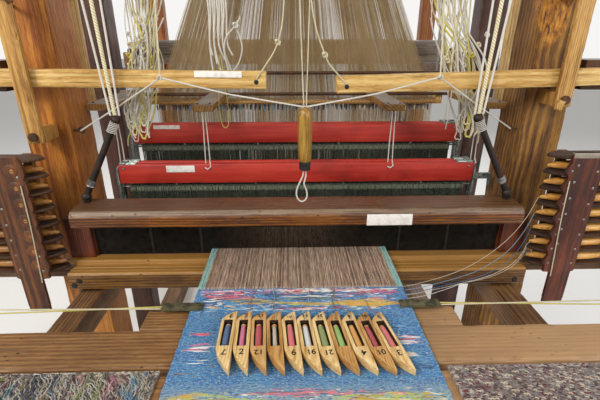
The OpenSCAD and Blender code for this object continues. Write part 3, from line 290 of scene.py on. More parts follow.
BROWN = ("3a2514", "6b482a", "8f6c44")
M = {
    "oak": wood("golden_oak", "582804", "975313", "cc8731", "Z", (-0.70, -0.15, 0), 0.007, 0.55, 0.5, 0.3,
                relief=0.0006),
    "rough": wood("rough_brown_timber", "38200b", "73491d", "ae7e34", "Z", (0.80, -0.22, 0), 0.011, 0.6, 0.9, 0.9,
                  relief=0.0016, rough=(0.6, 0.85), bark=((0.70, -0.405, 1.63), (0.055, 0.09, 0.17), "b0701c")),
    "strap": wood("pale_strap", "744c1a", "aa7b3a", "d6a85e", "Z", (-0.70, -0.40, 0), 0.006, 0.4, 0.7, 0.3),
    "pine_x": wood("pale_pine", "966a2a", "c99e54", "eaca86", "X", (0, -0.36, 1.36), 0.007, 0.35, 0.8, 0.35),
    "pine_z": wood("pale_upright", "a37a42", "d3ad6e", "efd8a4", "Z", (0.62, -0.1, 0), 0.006, 0.3, 0.4, 0.2),
    # Handrail: its crown gives the rubbed top a painted sheen and the front arris a painted highlight.
    "hand": wood("handrail_wood", "251004", "562b0b", "965a1b", "X", (0, -0.62, 0.9), 0.008, 0.7, 0.7, 0.4, 0.3,
                 (0.22, 0.5), 0.0008, crown=("574434", 0.75)),
    "race": wood("race_wood", "241204", "56330c", "8b6022", "X", (0, -0.50, 0.66), 0.009, 0.6, 0.8, 0.4, 0.9,
                 (0.4, 0.7), 0.0009, drift=(2, 0.861, 0.8705, "c08c40", 0.5)),
    "board": wood("knee_wood", "5a3a1c", "7d5530", "a27a4a", "X", (0, -1.10, 0.70), 0.008, 0.45, 0.5, 0.5, 0.35,
                  (0.45, 0.8), 0.0005, drift=(0, -0.1, 0.6, "c8a278", 0.6)),
    "cheek": wood("reddish_cheek", "240c05", "54200e", "80401e", "Z", (0.66, -0.4, 0), 0.006, 0.6, 0.5),
    "plate": wood("dark_red_plate", "1e0a04", "461908", "743214", "Z", (0.75, -0.5, 0), 0.007, 0.6, 0.4,
                  rough=(0.5, 0.75)),
    # Shelves: dark wood, darkened further as painted shade so they recede between the shuttle tips.
    "shelf": wood("dark_shelf_wood_and_shade", "140803", "301708", "5c3611", "X", (0, -0.5, 1.2), 0.006, 0.5, 0.5, rough=(0.6, 0.85)),
    "carved": wood("carved_brown_plate", "1c0b04", "4a2409", "7c481a", "Z", (-0.75, -0.5, 0), 0.007, 0.6, 0.4,
                   rough=(0.5, 0.75)),
    "tip_brown": wood("brown_shuttle", "4e2a0c", "8a5722", "bd8440", "X", (0, -0.5, 1.0), 0.004, 0.4, 0.3,
                      rough=(0.25, 0.45)),
    "tip": wood("golden_shuttle", "9a5c1c", "d49440", "eebf70", "X", (0, -0.5, 1.0), 0.004, 0.3, 0.3,
                rough=(0.25, 0.45)),
    "boxwood": wood("shuttle_wood", "a87a3e", "ddb674", "f4dba6", "Y", (0.1, 0, 0.6), 0.004, 0.35, 0.3,
                    rough=(0.3, 0.5), relief=0.0002),
    "boxwood2": wood("browner_shuttle_wood", "885524", "c08c4a", "dcb274", "Y", (-0.1, 0, 0.7), 0.004, 0.35, 0.3,
                     rough=(0.3, 0.5), relief=0.0002),
    # Dark wood for the wells' faces, as painted shade in the deep wells.
    "well": wood("painted_well_shade", "1c0f08", "3a2212", "5c3a1e", "Y", (0.1, 0, 0.6), 0.004, 0.6, 0.3, relief=0.0002),
    "handle": wood("turned_handle", "56370f", "93691f", "bb9340", "Z", (0.05, -0.52, 0), 0.005, 0.5, 0.4,
                   rough=(0.25, 0.45)),
    "arm": wood("dusty_arm", "50330f", "956c32", "ba9052", "Y", (0.2, 0, 1.2), 0.008, 0.4, 0.4, 0.3, dust=0.9),
    "dark_z": wood("dark_upright", "1d0e0a", "3f211a", "5e3828", "Z", (0.7, 0.3, 0), 0.008, 0.5, 0.4),
    "orange_z": wood("orange_upright", "5a2c10", "94541f", "b9753a", "Z", (0.9, 0.6, 0), 0.008, 0.4, 0.4),
    "brown_x": wood("brown_beam_x", *BROWN, "X", (0, 0.2, 1.7), 0.010, 0.5, 0.6, 0.3),
    "brown_y": wood("brown_beam_y", *BROWN, "Y", (0.5, 0, 0.6), 0.010, 0.5, 0.6, 0.3),
    "brown_z": wood("brown_beam_z", *BROWN, "Z", (0.5, 0.3, 0), 0.010, 0.5, 0.6, 0.3),
    "perf": wood("comber_wood", "6b431b", "b28242", "d9b06b", "X", (0, 0.2, 1.1), 0.006, 0.4, 0.4, 0.2),
    "grey_x": wood("weathered_bar", "4a4038", "83776a", "a89c8e", "X", (0, 0, 1.2), 0.008, 0.4, 0.4),
    # The rear frames' red is a lighter copy of the front's, as painted light against the shade they hang in.
    "red1": paint("front_red_paint", "a8261b", "be3829", "5a1710"),
    "red2": paint("rear_red_paint", "b02c22", "c94334", "4c1612"),
    "iron": metal("dark_iron", "2a2623", "4a2f1e", 0.45, 0.6, 0.6),
    "rust": metal("rusty_iron", "3c2c20", "6b4426", 0.6, 0.9, 0.4),
    "bright": metal("worn_steel", "8d8a85", "5d554c", 0.35, 0.4, 0.9),
    "brass": metal("old_brass", "b98a3c", "7a5a2a", 0.35, 0.5, 0.9),
    "zinc": galvanised("galvanised_iron"),
    "dent": metal("reed_wire", "3a352e", "1b1815", 0.4, 0.5, 0.6),
    "white": cord_mat("white_cord", "f5f2ea", "c9c2b0"),
    "cream": cord_mat("cream_cord", "f4ecca", "cabb88"),
    "yellow": cord_mat("yellow_cord", "ecdf6a", "bdb047"),
    "brown_cord": cord_mat("brown_cord", "f0d29c", "b8905a", 0.3),
    "gold_cord": cord_mat("gold_cord", "f4d488", "c09848", 0.3),
    "paper": paper_mat(),
    # Black: the handle's dark foot, and painted shade for holes drawn as dark dots.
    "black": metal("dark_cap_and_hole_shade", "1d1d1b", "34322d", 0.3, 0.4, 0.2),
}


def yarns(kind, fuzz, turns, table):
    """Yarn of each colour in a table of name, lit tone and shaded tone."""
    return {key: cord_mat(kind + key, tone, shade, fuzz, turns) for key, tone, shade in table}


YARNS = yarns("yarn_", 0.25, None, (
    ("navy", "23406e", "16284a"), ("pink", "e87f97", "b74f6b"), ("red", "c8202c", "8a1420"),
    ("cream", "f2e8d2", "c5b48f"), ("salmon", "f0837c", "bd5150"), ("white", "f7f6f0", "cfccc0"),
    ("olive", "84914a", "57622c"), ("green", "a3c06a", "6f8f40"), ("orange", "f3b13c", "c07f1e"),
    ("blue", "2f79b4", "1b4f84"), ("sky", "86c3df", "4f93bd"), ("mustard", "d9b63a", "9c7d1f"),
    ("lime", "c3cf6a", "8b9a3f"), ("grey", "9a9390", "625c5a"), ("mauve", "8d6f86", "5a4358"),
    ("wine", "8a2436", "561322"), ("brown", "80665a", "54403a"), ("taupe", "a08a7e", "6c5a52"),
    ("black", "35303a", "1b181e"), ("aqua", "a6d3ce", "6fa8a6")))
THREADS = [thread_mat("warp_brown", "c4a384", "836850"), thread_mat("warp_mauve", "c8ad9a", "8b7264"),
           thread_mat("warp_pale", "e6d2b9", "ac937a"), thread_mat("warp_dark", "866b54", "503e2e"),
           thread_mat("selvedge_aqua", "b4dcd6", "74aaa8")]


# Shapes

SIDES = (-1, 1)
UP, RIGHT = Vector((0, 0, 1)), Vector((1, 0, 0))
FACING = Matrix.Rotation(math.radians(90), 3, "X")     # a lathe's +Z turned to the weaver
AWAY = Matrix.Rotation(math.radians(-90), 3, "X")
ACROSS = Matrix.Rotation(math.radians(90), 3, "Y")     # and turned to +X
CORNERS = 0.45                                         # no edge is rounded by more than this share of a side


def angles(n):
    """n equal steps round a circle."""
    return [2 * math.pi * k / n for k in range(n)]


def skin(m, rows, caps=True):
    """Faces over rows of m points each, with a cap at either end."""
    faces = [(i * m + k, i * m + (k + 1) % m, (i + 1) * m + (k + 1) % m, (i + 1) * m + k) for i in range(rows - 1)
             for k in range(m)]
    return faces + [tuple(reversed(range(m))), tuple(range((rows - 1) * m, rows * m))] if caps else faces


def beside(way):
    """A direction at right angles to a way."""
    return way.cross(UP if abs(way.z) < 0.9 else RIGHT).normalized()


def roughness(p, freq):
    """How deep the surface is worn at a point, 0 to 1.2."""
    return 0.5 + 0.5 * noise.fractal(p * freq, 0.9, 2.1, 3)


class Shape:
    """Gathers rounded boxes, bars, tubes and sweeps into one mesh, each with its own material."""

    def __init__(self):
        self.v, self.f, self.m, self.uv, self.mats = [], [], [], [], []

    def slot(self, mat):
        mat = M[mat] if isinstance(mat, str) else mat
        if mat not in self.mats:
            self.mats.append(mat)
        return self.mats.index(mat)

    def add(self, verts, faces, mat, uvs=None):
        k, n = self.slot(mat), len(self.v)
        self.v += [tuple(p) for p in verts]
        self.f += [tuple(i + n for i in f) for f in faces]
        self.m += [k] * len(faces)
        self.uv += uvs or [[(0.0, 0.0)] * len(f) for f in faces]
        return self

    def box(self, lo, hi, mat, r=0.002, cell=None, wear=0.0, chip=0.0, turn=None, about=(0, 0, 0), freq=14.0):
        """Box with round edges, gridded where it is worn, its surface only ever moved inward."""
        lines, edges = [], [min(r, (b - a) * CORNERS) for a, b in zip(lo, hi)]
        for a, b, e in zip(lo, hi, edges):
            n = max(1, round((b - a - 2 * e) / cell)) if cell else 1
            flat = [a + e + (b - a - 2 * e) * i / n for i in range(n + 1)]
            lines.append([a, a + 0.35 * e, *flat, b - 0.35 * e, b])
        index, verts, faces = {}, [], []

        def at(i, j, k):
            if (i, j, k) not in index:
                p = Vector((lines[0][i], lines[1][j], lines[2][k]))
                inner = Vector([min(max(c, a + e), b - e) for c, a, b, e in zip(p, lo, hi, edges)])
                way = (p - inner).normalized()
                q = inner + Vector([w * e for w, e in zip(way, edges)])
                if wear or chip:
                    on_edge = sum(abs(c) > 0.2 for c in way) > 1
                    chips = chip * max(0.0, noise.noise(p * freq * 2.3 + Vector((7, 3, 5)))) * 2 if on_edge else 0
                    q -= way * (wear * min(max(roughness(p, freq), 0), 1.2) + chips)
                index[(i, j, k)] = len(verts)
                verts.append(q)
            return index[(i, j, k)]

        nx, ny, nz = (len(l) - 1 for l in lines)
        for j in range(ny):
            for k in range(nz):
                faces.append((at(0, j, k), at(0, j, k + 1), at(0, j + 1, k + 1), at(0, j + 1, k)))
                faces.append((at(nx, j, k), at(nx, j + 1, k), at(nx, j + 1, k + 1), at(nx, j, k + 1)))
        for i in range(nx):
            for k in range(nz):
                faces.append((at(i, 0, k), at(i + 1, 0, k), at(i + 1, 0, k + 1), at(i, 0, k + 1)))
                faces.append((at(i, ny, k), at(i, ny, k + 1), at(i + 1, ny, k + 1), at(i + 1, ny, k)))
        for i in range(nx):
            for j in range(ny):
                faces.append((at(i, j, 0), at(i, j + 1, 0), at(i + 1, j + 1, 0), at(i + 1, j, 0)))
                faces.append((at(i, j, nz), at(i + 1, j, nz), at(i + 1, j + 1, nz), at(i, j + 1, nz)))
        if turn:
            spin = Matrix.Translation(about) @ turn.to_4x4() @ Matrix.Translation(-Vector(about))
            verts = [spin @ p for p in verts]
        return self.add(verts, faces, mat)

    def slat(self, lo, hi, mat):
        """Plain thin box."""
        corners = ((lo[0], lo[1]), (hi[0], lo[1]), (hi[0], hi[1]), (lo[0], hi[1]))
        faces = [(0, 3, 2, 1), (4, 5, 6, 7), (0, 1, 5, 4), (1, 2, 6, 5), (2, 3, 7, 6), (3, 0, 4, 7)]
        return self.add([(x, y, z) for z in (lo[2], hi[2]) for x, y in corners], faces, mat)

    def bar(self, a, b, r, mat, n=16, r2=None, soft=0.0):
        """Round bar from a to b, with softened ends."""
        a, b = Vector(a), Vector(b)
        w = (b - a).normalized()
        u = beside(w)
        s = w.cross(u)
        r2 = r if r2 is None else r2
        e = soft or min(r, r2) * 0.15
        stations = [(a, max(r - e, r * 0.5)), (a + w * e, r), (b - w * e, r2), (b, max(r2 - e, r2 * 0.5))]
        verts = [p + (u * math.cos(t) + s * math.sin(t)) * q for p, q in stations for t in angles(n)]
        span = (b - a).length / (2 * r)
        uvs = [[(k / n, v0), ((k + 1) / n, v0), ((k + 1) / n, v1), (k / n, v1)] for v0,
               v1 in ((0, 0), (0, span), (span, span)) for k in range(n)]
        return self.add(verts, skin(n, 4), mat, uvs + [[(0, 0)] * n] * 2)

    def tube(self, path, r, mat, n=6, taper=None):
        """Tube along a route, r in metres or one for each point."""
        p = [Vector(q) for q in path]
        rs = taper or [r] * len(p)
        u, verts, along = None, [], [0.0]
        for i, q in enumerate(p):
            t = (p[min(i + 1, len(p) - 1)] - p[max(i - 1, 0)]).normalized()
            u = u or beside(t)
            u = (u - t * u.dot(t)).normalized()
            s = t.cross(u)
            verts += [q + (u * math.cos(a) + s * math.sin(a)) * rs[i] for a in angles(n)]
            if i:
                along.append(along[-1] + (q - p[i - 1]).length / (2 * max(rs)))
        uvs = [[(k / n, v0), ((k + 1) / n, v0), ((k + 1) / n, v1), (k / n, v1)] for v0,
               v1 in zip(along, along[1:]) for k in range(n)]
        return self.add(verts, skin(n, len(p)), mat, uvs + [[(0, 0)] * n] * 2)

    def sweep(self, outline, x0, x1, mat, cell=0.02, wear=0.0, freq=14.0, keep=None):
        """A closed outline in Y and Z swept along X, worn inward."""
        n = max(1, round((x1 - x0) / cell))
        c = sum((Vector(q) for q in outline), Vector((0, 0))) / len(outline)
        verts = []
        for i in range(n + 1):
            x = x0 + (x1 - x0) * i / n
            for q in outline:
                p = Vector((x, q[0], q[1]))
                if wear and not (keep and keep(p)):
                    way = (Vector(q) - c).normalized()
                    p -= Vector((0, way.x, way.y)) * wear * min(max(roughness(p, freq), 0), 1.2)
                verts.append(p)
        return self.add(verts, skin(len(outline), n + 1), mat)

    def plate(self, outline, y0, y1, mat, edge):
        """A flat outline in X and Z, given thickness along Y, with its front edge softened."""
        c = sum((Vector(q) for q in outline), Vector((0, 0))) / len(outline)
        inner = [Vector(q) + (c - Vector(q)).normalized() * edge for q in outline]
        rows = [(inner, y0), (outline, y0 + edge), (outline, y1)]
        verts = [Vector((q[0], y, q[1])) for ring, y in rows for q in ring]
        return self.add(verts, skin(len(outline), len(rows)), mat)

    def lathe(self, profile, at, mat, n=32, turn=None):
        """A profile of (radius, height) turned about Z at a point."""
        verts = [Vector((r * math.cos(a), r * math.sin(a), z)) for r, z in profile for a in angles(n)]
        verts = [(turn @ q if turn else q) + Vector(at) for q in verts]
        return self.add(verts, skin(n, len(profile)), mat)

    def done(self, name, body, nodes=(), angle=35):
        """Makes the object, which rides on a body and replaces CAD nodes."""
        me = bpy.data.meshes.new(name)
        me.from_pydata(self.v, [], self.f)
        for mat in self.mats:
            me.materials.append(mat)
        me.polygons.foreach_set("material_index", self.m)
        layer = me.uv_layers.new(name="UVMap")
        layer.data.foreach_set("uv", [c for f in self.uv for p in f for c in p])
        me.validate()
        me.polygons.foreach_set("use_smooth", [True] * len(me.polygons))
        me.set_sharp_from_angle(angle=math.radians(angle))
        me.update()
        obj = bpy.data.objects.new(name, me)
        bpy.context.scene.collection.objects.link(obj)
        if body:
            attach(obj, body)
        if nodes:
            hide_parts(*nodes)
        return obj


def side_box(shape, s, x0, x1, y0, y1, z0, z1, mat, **more):
    """Box on one side of the loom, from inner x0 to outer x1."""
    a, b = sorted((s * x0, s * x1))
    shape.box((a, y0, z0), (b, y1, z1), mat, **more)


def along_x(shape, axis, x0, x1, r, mat, n=16, **more):
    """Round bar along X at an axis's (y, z)."""
    shape.bar((x0, *axis), (x1, *axis), r, mat, n, **more)


def bead(shape, x, y, heights, r, mat, tips):
    """Small upright spindle through four heights, its two ends drawn in to radii of their own."""
    shape.tube([(x, y, z) for z in heights], r, mat, 6, [tips[0], r, r, tips[1]])


def knot(shape, p, r, mat):
    """Two loops through each other."""
    for a in range(2):
        shape.tube([Vector(p) + Vector((r * math.cos(t + a), r * 0.7 * math.sin(2 * t + a), r * math.sin(t)))
                    for t in [0.7 * i for i in range(10)]], r * 0.42, mat, 6)


def dress(node, mat):
    """Gives a CAD node a material of its own."""
    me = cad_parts[node].data
    me.materials.clear()
    me.materials.append(M[mat] if isinstance(mat, str) else mat)


# Frame timbers

WORN = {"r": 0.005, "cell": 0.022, "wear": 0.0016, "chip": 0.003}
s = Shape().box((-0.805, -0.405, 0.090), (-0.665, -0.265, 2.120), "oak", r=0.007, cell=0.016, wear=0.002, chip=0.003,
                freq=9)
s.done("oak_post_left", "frame", ["front_post_left"])
s = Shape().box((0.665, -0.405, 0.090), (0.805, -0.265, 2.120), "rough", r=0.009, cell=0.014, wear=0.006, chip=0.010,
                freq=7)
s.done("rough_post_right", "frame", ["front_post_right"])

# Name, CAD node, timbers of which there is one on each side, and timbers across. A timber on a side is given by its
# inner x, outer x, y, y, z, z, one across by its corners. Its material follows, and an edge radius if it isn't worn.
TIMBERS = (
    ("floor_sills", "floor_frame", [((0.690, 0.780, -1.174, 1.174, 0, 0.090), "brown_y")],
     [((-0.690, y, 0.010), (0.690, y + 0.090, 0.080), "brown_x") for y in (-1.165, 1.015)]),
    ("side_rails_worn", "side_rails", [
        ((0.595, 0.665, -1.165, -0.265, 0.720, 0.800), "brown_y"),
        ((0.595, 0.665, -1.165, -0.846, 0.800, 0.855), "brown_y"),
        ((0.700, 0.770, -0.265, 0.020, 0.775, 0.855), "brown_y"),
        ((0.700, 0.770, 0.113, 0.780, 0.775, 0.855), "brown_y"),
        ((0.700, 0.770, 0.855, 1.165, 0.775, 0.855), "brown_y")], []),
    ("end_legs_worn", "end_legs", [((0.700, 0.770, 1.095, 1.165, 0.090, 0.775), "brown_z"),
                                   ((0.595, 0.665, -1.165, -1.095, 0.080, 0.720), "brown_z")], []),
    ("inner_posts_worn", "inner_posts", [((0.6885, 0.7815, 0.020, 0.113, 0.090, 2.120), "dark_z"),
                                         ((0.6975, 0.7725, 0.780, 0.855, 0.090, 2.120), "orange_z")], []),
    ("top_beams", "top_frame", [((0.690, 0.780, -0.590, 0.895, 2.120, 2.220), "brown_y")],
     [((-0.690, y, 2.120), (0.690, y + 0.080, 2.220), "brown_x") for y in (-0.385, 0.080, 0.780)]),
    ("roller_bearers", "roller_rails", [((0.715, 0.755, 0.113, 0.780, 1.337, 1.387), "brown_y"),
                                        ((0.715, 0.755, 0.300, 0.400, 1.387, 1.447), "brown_y", 0.004)], []),
    ("head_timbers", "head_frame", [
        ((0.300, 0.360, -0.385, 0.160, 2.220, 2.280), "brown_y"),
        ((0.305, 0.355, -0.130, -0.070, 2.280, 2.640), "brown_z"),
        ((0.305, 0.355, 0.110, 0.170, 2.280, 2.640), "brown_z"),
        ((0.305, 0.355, -0.070, 0.110, 2.570, 2.630), "brown_y", 0.003),
        ((0.305, 0.325, -0.225, -0.130, 2.405, 2.455), "brown_y", 0.003)],
     [((-0.305, y, 2.570), (0.305, y + 0.060, 2.630), "brown_x") for y in (-0.130, 0.110)]
     + [((-0.330, -0.192, 2.280), (0.330, -0.130, 2.310), "brown_x"),
        ((-0.305, -0.060, 2.226), (0.305, 0.090, 2.240), "perf", 0.002)]),
)
for name, node, at_sides, across in TIMBERS:
    s = Shape()
    for k in SIDES:
        for place, mat, *edge in at_sides:
            side_box(s, k, *place, mat, **({"r": edge[0]} if edge else WORN))
    for lo, hi, mat, *edge in across:
        s.box(lo, hi, mat, **({"r": edge[0]} if edge else WORN))
    s.done(name, "frame", [node])

s = Shape()
for k in SIDES:
    side_box(s, k, 0.680, 0.720, -0.200, -0.180, 1.296, 2.120, "pine_z", r=0.003, cell=0.03, wear=0.001, chip=0.002)
    side_box(s, k, 0.540, 0.562, -0.026, 0.056, 1.284, 1.314, "pine_z", r=0.002)
    s.bar((k * 0.551, 0.040, 1.313), (k * 0.551, 0.087, 2.119), 0.006, "bright")
s.done("comber_hangers_pale", "frame", ["comber_hangers"])

s = Shape()
for k, z0, z1 in ((-1, 1.236, 1.700), (1, 1.330, 1.640)):
    side_box(s, k, 0.7025, 0.7475, -0.490, -0.472, z0, z1, "strap", r=0.0045, cell=0.010, wear=0.0012, chip=0.004,
             freq=20)
    for z in (z0, z1 - 0.040):
        side_box(s, k, 0.7035, 0.7465, -0.472, -0.405, z + 0.001, z + 0.039, "strap", r=0.002)
s.box((0.6995, -0.500, 1.322), (0.7235, -0.489, 1.352), "strap", r=0.004, cell=0.006, wear=0.002, chip=0.004, freq=40,
      turn=Matrix.Rotation(math.radians(14), 3, "Y"), about=(0.712, -0.495, 1.337))
s.done("post_straps", "frame", ["guide_straps"])

# Iron
for node in ("hanger_rods", "ratchet_wheel", "pawl", "griffe"):
    dress(node, "iron")
dress("iron_fittings", fittings_mat())

# Knee board, under board, breast beam
s = Shape().box((-0.805, -0.959, 0.855), (0.805, -0.846, 0.894), "board", r=0.006, cell=0.014, wear=0.0012, chip=0.003,
                freq=11)
s.done("knee_plank", "frame", ["knee_board"])
s = Shape()
s.box((-0.375, -0.842, 0.868), (0.375, -0.770, 0.890), "board", r=0.003, cell=0.014, wear=0.0008, chip=0.002)
for x in (-0.340, 0.340):
    s.box((x - 0.025, -0.842, 0.835), (x + 0.025, -0.792, 0.868), "brown_z", r=0.002)
s.box((-0.595, -0.844, 0.795), (0.595, -0.792, 0.835), "brown_x", **WORN)
s.done("under_plank", "frame", ["under_board"])


def arc(cy, cz, r, a0, a1, n):
    """Points (y, z) of an arc, from a0 to a1 degrees."""
    turns = [math.radians(a0 + (a1 - a0) * i / n) for i in range(n + 1)]
    return [(cy + r * math.cos(a), cz + r * math.sin(a)) for a in turns]


BEAM_R, BEAM_Y, BEAM_Z = 0.02135, -1.14365, 0.87635     # the round edge of the breast beam
CLOTH_BEAM, WARP_BEAM, UPPER_ROLLER = (-1.0, 0.64), (1.0, 0.56), (0.35, 1.447)
outline = arc(BEAM_Y, BEAM_Z, BEAM_R, 90, 270, 14)
outline += [(-0.987, 0.855), (-0.985, 0.857), (-0.985, 0.8957), (-0.987, 0.8977)]
s = Shape().sweep(list(reversed(outline)), -0.805, 0.805, "board", 0.03, 0.0006)
s.done("breast_beam_worn", "frame", ["breast_beam"])

# Batten: handrail, race with its cheeks, reed
hand = arc(-0.551, 1.042, 0.024, 90, 180, 8)
hand += [(-0.575, 1.030), (-0.575, 1.021), (-0.572, 1.017), (-0.566, 1.016), (-0.54, 1.016), (-0.50, 1.016),
         (-0.466, 1.016), (-0.462, 1.020)]
hand += arc(-0.478, 1.052, 0.016, 0, 90, 6) + [(-0.50, 1.068), (-0.525, 1.0665)]
s = Shape().sweep(list(reversed(hand)), -0.634, 0.634, "hand", 0.012, 0.0022, 9.0)
s.done("handrail_worn", "batten", ["handrail"])

race = [(-0.576, 0.821), (-0.576, 0.845), (-0.576, 0.866), (-0.570, 0.872), (-0.560, 0.872), (-0.559, 0.8695),
        (-0.5555, 0.8695), (-0.5545, 0.872), (-0.543, 0.872), (-0.542, 0.8700), (-0.539, 0.8700), (-0.538, 0.872),
        (-0.521, 0.872), (-0.517, 0.886), (-0.500, 0.886), (-0.487, 0.886), (-0.487, 0.850), (-0.487, 0.820),
        (-0.490, 0.817), (-0.53, 0.817), (-0.572, 0.817)]
s = Shape().sweep(list(reversed(race)), -0.676, 0.676, "race", 0.010, 0.0016, 13.0,
                  keep=lambda p: p.z > 0.8855 and abs(p.x) < 0.3)
for k in SIDES:
    side_box(s, k, 0.620, 0.694, -0.487, -0.465, 0.886, 1.016, "cheek", r=0.003, cell=0.02, wear=0.0012, chip=0.002)
    side_box(s, k, 0.622, 0.694, -0.505, -0.487, 0.886, 1.016, "cheek", r=0.002, cell=0.02, wear=0.0008)
    side_box(s, k, 0.620, 0.694, -0.487, -0.465, 0.866, 0.886, "cheek", r=0.002)
    side_box(s, k, 0.675, 0.702, -0.513, -0.487, 0.817, 0.886, "race", r=0.003)
    side_box(s, k, 0.702, 1.132, -0.501, -0.487, 0.817, 0.857, "brown_x", r=0.002)
    s.bar((k * 0.682, -0.494, 0.873), (k * 1.132, -0.494, 0.873), 0.006, "bright")
    side_box(s, k, 1.118, 1.132, -0.501, -0.487, 0.857, 0.887, "brown_x", r=0.002)
    for dx, z in ((0.645, 0.848), (0.662, 0.833)) if k < 0 else ((0.648, 0.833),):
        s.lathe([(0.0001, 0.0), (0.008, 0.001), (0.0095, 0.004), (0.0095, 0.006)], (k * dx, -0.5725 - 0.0055, z),
                "iron", 16, AWAY)
s.done("race_and_cheeks", "batten", ["race_beam"])

s = Shape()
s.box((-0.620, -0.487, 0.866), (0.620, -0.471, 0.886), "dark_z", r=0.002)
s.box((-0.620, -0.487, 0.996), (0.620, -0.471, 1.016), "dark_z", r=0.002)
DENTS = 420
for i in range(DENTS):
    x = -0.617 + 1.234 * i / (DENTS - 1)
    s.slat((x - 0.0005, -0.484, 0.886), (x + 0.0005, -0.474, 0.996), "dent")
for x in (-0.45, -0.30, 0.31, 0.46):
    s.box((x - 0.004, -0.486, 0.886), (x + 0.004, -0.473, 0.996), "dent", r=0.001)
s.done("reed_wires", "batten", ["reed"], angle=60)

# Heddle frames: painted bars, galvanised corners, heddles on their rods
HEDDLES = 430
SHAFTS = ((-0.335, 1.099, 0.690, "red1"), (-0.305, 1.099, 0.690, "red1"),     # y, z of the upper bar, foot of the lower
          (-0.176, 1.193, 0.670, "red2"), (-0.146, 1.193, 0.670, "red2"))
for k, (y, middle_z, low, red) in enumerate(SHAFTS):
    s = Shape()
    top, bottom = middle_z + 0.033, middle_z - 0.033
    steel = heddle_mat("heddle_steel_%d" % (k + 1), bottom - 0.008)
    s.box((-0.578, y - 0.010, bottom), (0.578, y + 0.010, top), red, r=0.004, cell=0.03, wear=0.0004, chip=0.001)
    s.box((-0.578, y - 0.010, low), (0.578, y + 0.010, low + 0.040), red, r=0.003)
    for e in SIDES:
        corner = [(0.520, top + 0.0005), (0.545, top + 0.0005), (0.562, top - 0.001), (0.574, top - 0.006),
                  (0.5815, top - 0.016), (0.584, top - 0.030), (0.584, bottom), (0.584, low + 0.3),
                  (0.584, low - 0.004)]
        for dy in (-0.0055, 0.0055):
            s.tube([(e * x, y + dy, z) for x, z in corner], 0.0042, "zinc", 8)
        side_box(s, e, 0.580, 0.588, y - 0.009, y + 0.009, low - 0.004, top - 0.030, "zinc", r=0.002)
        side_box(s, e, 0.550, 0.572, y - 0.0102, y + 0.0102, top - 0.002, top + 0.005, "zinc", r=0.002)
        s.bar((e * 0.560, y - 0.0105, top - 0.014), (e * 0.560, y - 0.0125, top - 0.014), 0.004, "zinc", 10)
    for rod in (bottom - 0.012, low + 0.052):
        along_x(s, (y, rod), -0.578, 0.578, 0.003, "bright")
    for x in (-0.40, -0.14, 0.15, 0.41):
        s.box((x - 0.003, y - 0.003, bottom - 0.016), (x + 0.003, y + 0.003, bottom), "bright", r=0.001)
    for i in range(HEDDLES):
        x = -0.552 + 1.104 * i / (HEDDLES - 1) + RND.uniform(-0.0008, 0.0008)
        dy = RND.uniform(-0.0012, 0.0012)
        s.slat((x - 0.0007, y - 0.002 + dy, low + 0.046), (x + 0.0007, y + 0.002 + dy, bottom - 0.006), steel)
        s.slat((x - 0.0011, y - 0.0042 + dy, bottom - 0.030), (x + 0.0011, y + 0.0042 + dy, bottom - 0.007),
               steel if i % 7 else "bright")
    if k > 1:
        s.box((-0.580, y - 0.009, 2.100), (0.580, y + 0.009, 2.126), "pine_x", r=0.003)
        for x in (-0.536, 0.536):
            s.tube([(x, y, top), (x, y, 1.6), (x, y, 2.101)], 0.002, "white")
            s.tube([(x - 0.008, y - 0.011, top - 0.02), (x - 0.006, y - 0.012, top + 0.006), (x, y - 0.004, top + 0.02),
                    (x, y, top + 0.03)], 0.002, "white")
        x = -0.120 if k == 2 else 0.120
        s.tube([(x, y, 2.126), (x, y, 2.2), (x, y, 2.314)], 0.002, "white")
        s.lathe([(0.0022, 0), (0.006, 0.001), (0.007, 0.006), (0.006, 0.011), (0.0022, 0.0124)], (x, y, 2.3102),
                "white", 12)
    else:
        for x in ((-0.290, 0.300) if k == 0 else (-0.574, 0.585)):
            for dx in (-0.007, 0.007):
                s.tube([(x + dx, y - 0.004, top - 0.004), (x + dx * 0.9, y, top + 0.06), (x + dx * 0.6, y, 1.2965)],
                       0.0017, "white")
            s.tube([(x - 0.009, y - 0.012, top - 0.012), (x, y - 0.0135, top - 0.017),
                    (x + 0.009, y - 0.012, top - 0.010), (x + 0.007, y - 0.003, top + 0.004)], 0.0022, "white")
    s.done("heddle_frame_%d_dressed" % (k + 1), "shaft_%d" % (k + 1), ["heddle_frame_%d" % (k + 1)])

s = Shape()
s.box((0.588, -0.343, 1.073), (0.640, -0.327, 1.091), "zinc", r=0.002)
s.box((0.636, -0.343, 1.050), (0.640, -0.327, 1.091), "zinc", r=0.001)
s.done("tab_bracket", "shaft_1")

# Jack arms
for name, body, xs, w, tip in (("inner", "inner_arms", (-0.290, 0.300), 0.064, -0.347),
                               ("outer", "outer_arms", (-0.613, 0.622), 0.084, -0.317)):
    s = Shape()
    for x in xs:
        s.box((x - w / 2, tip, 1.297), (x + w / 2, -0.035, 1.319), "arm", r=0.003, cell=0.010, wear=0.001, chip=0.002,
              freq=20)
        s.bar((x - w / 2, -0.035, 1.310), (x + w / 2, -0.035, 1.310), 0.016, "arm")
        for dx in (-0.3, 0.3):
            s.lathe([(0.0001, 0), (0.004, 0.0), (0.004, 0.002), (0.0001, 0.003)], (x + dx * w, tip + 0.020, 1.3185),
                    "iron", 10)
    s.done("jack_arms_%s_worn" % name, body, ["jack_arms_" + name])

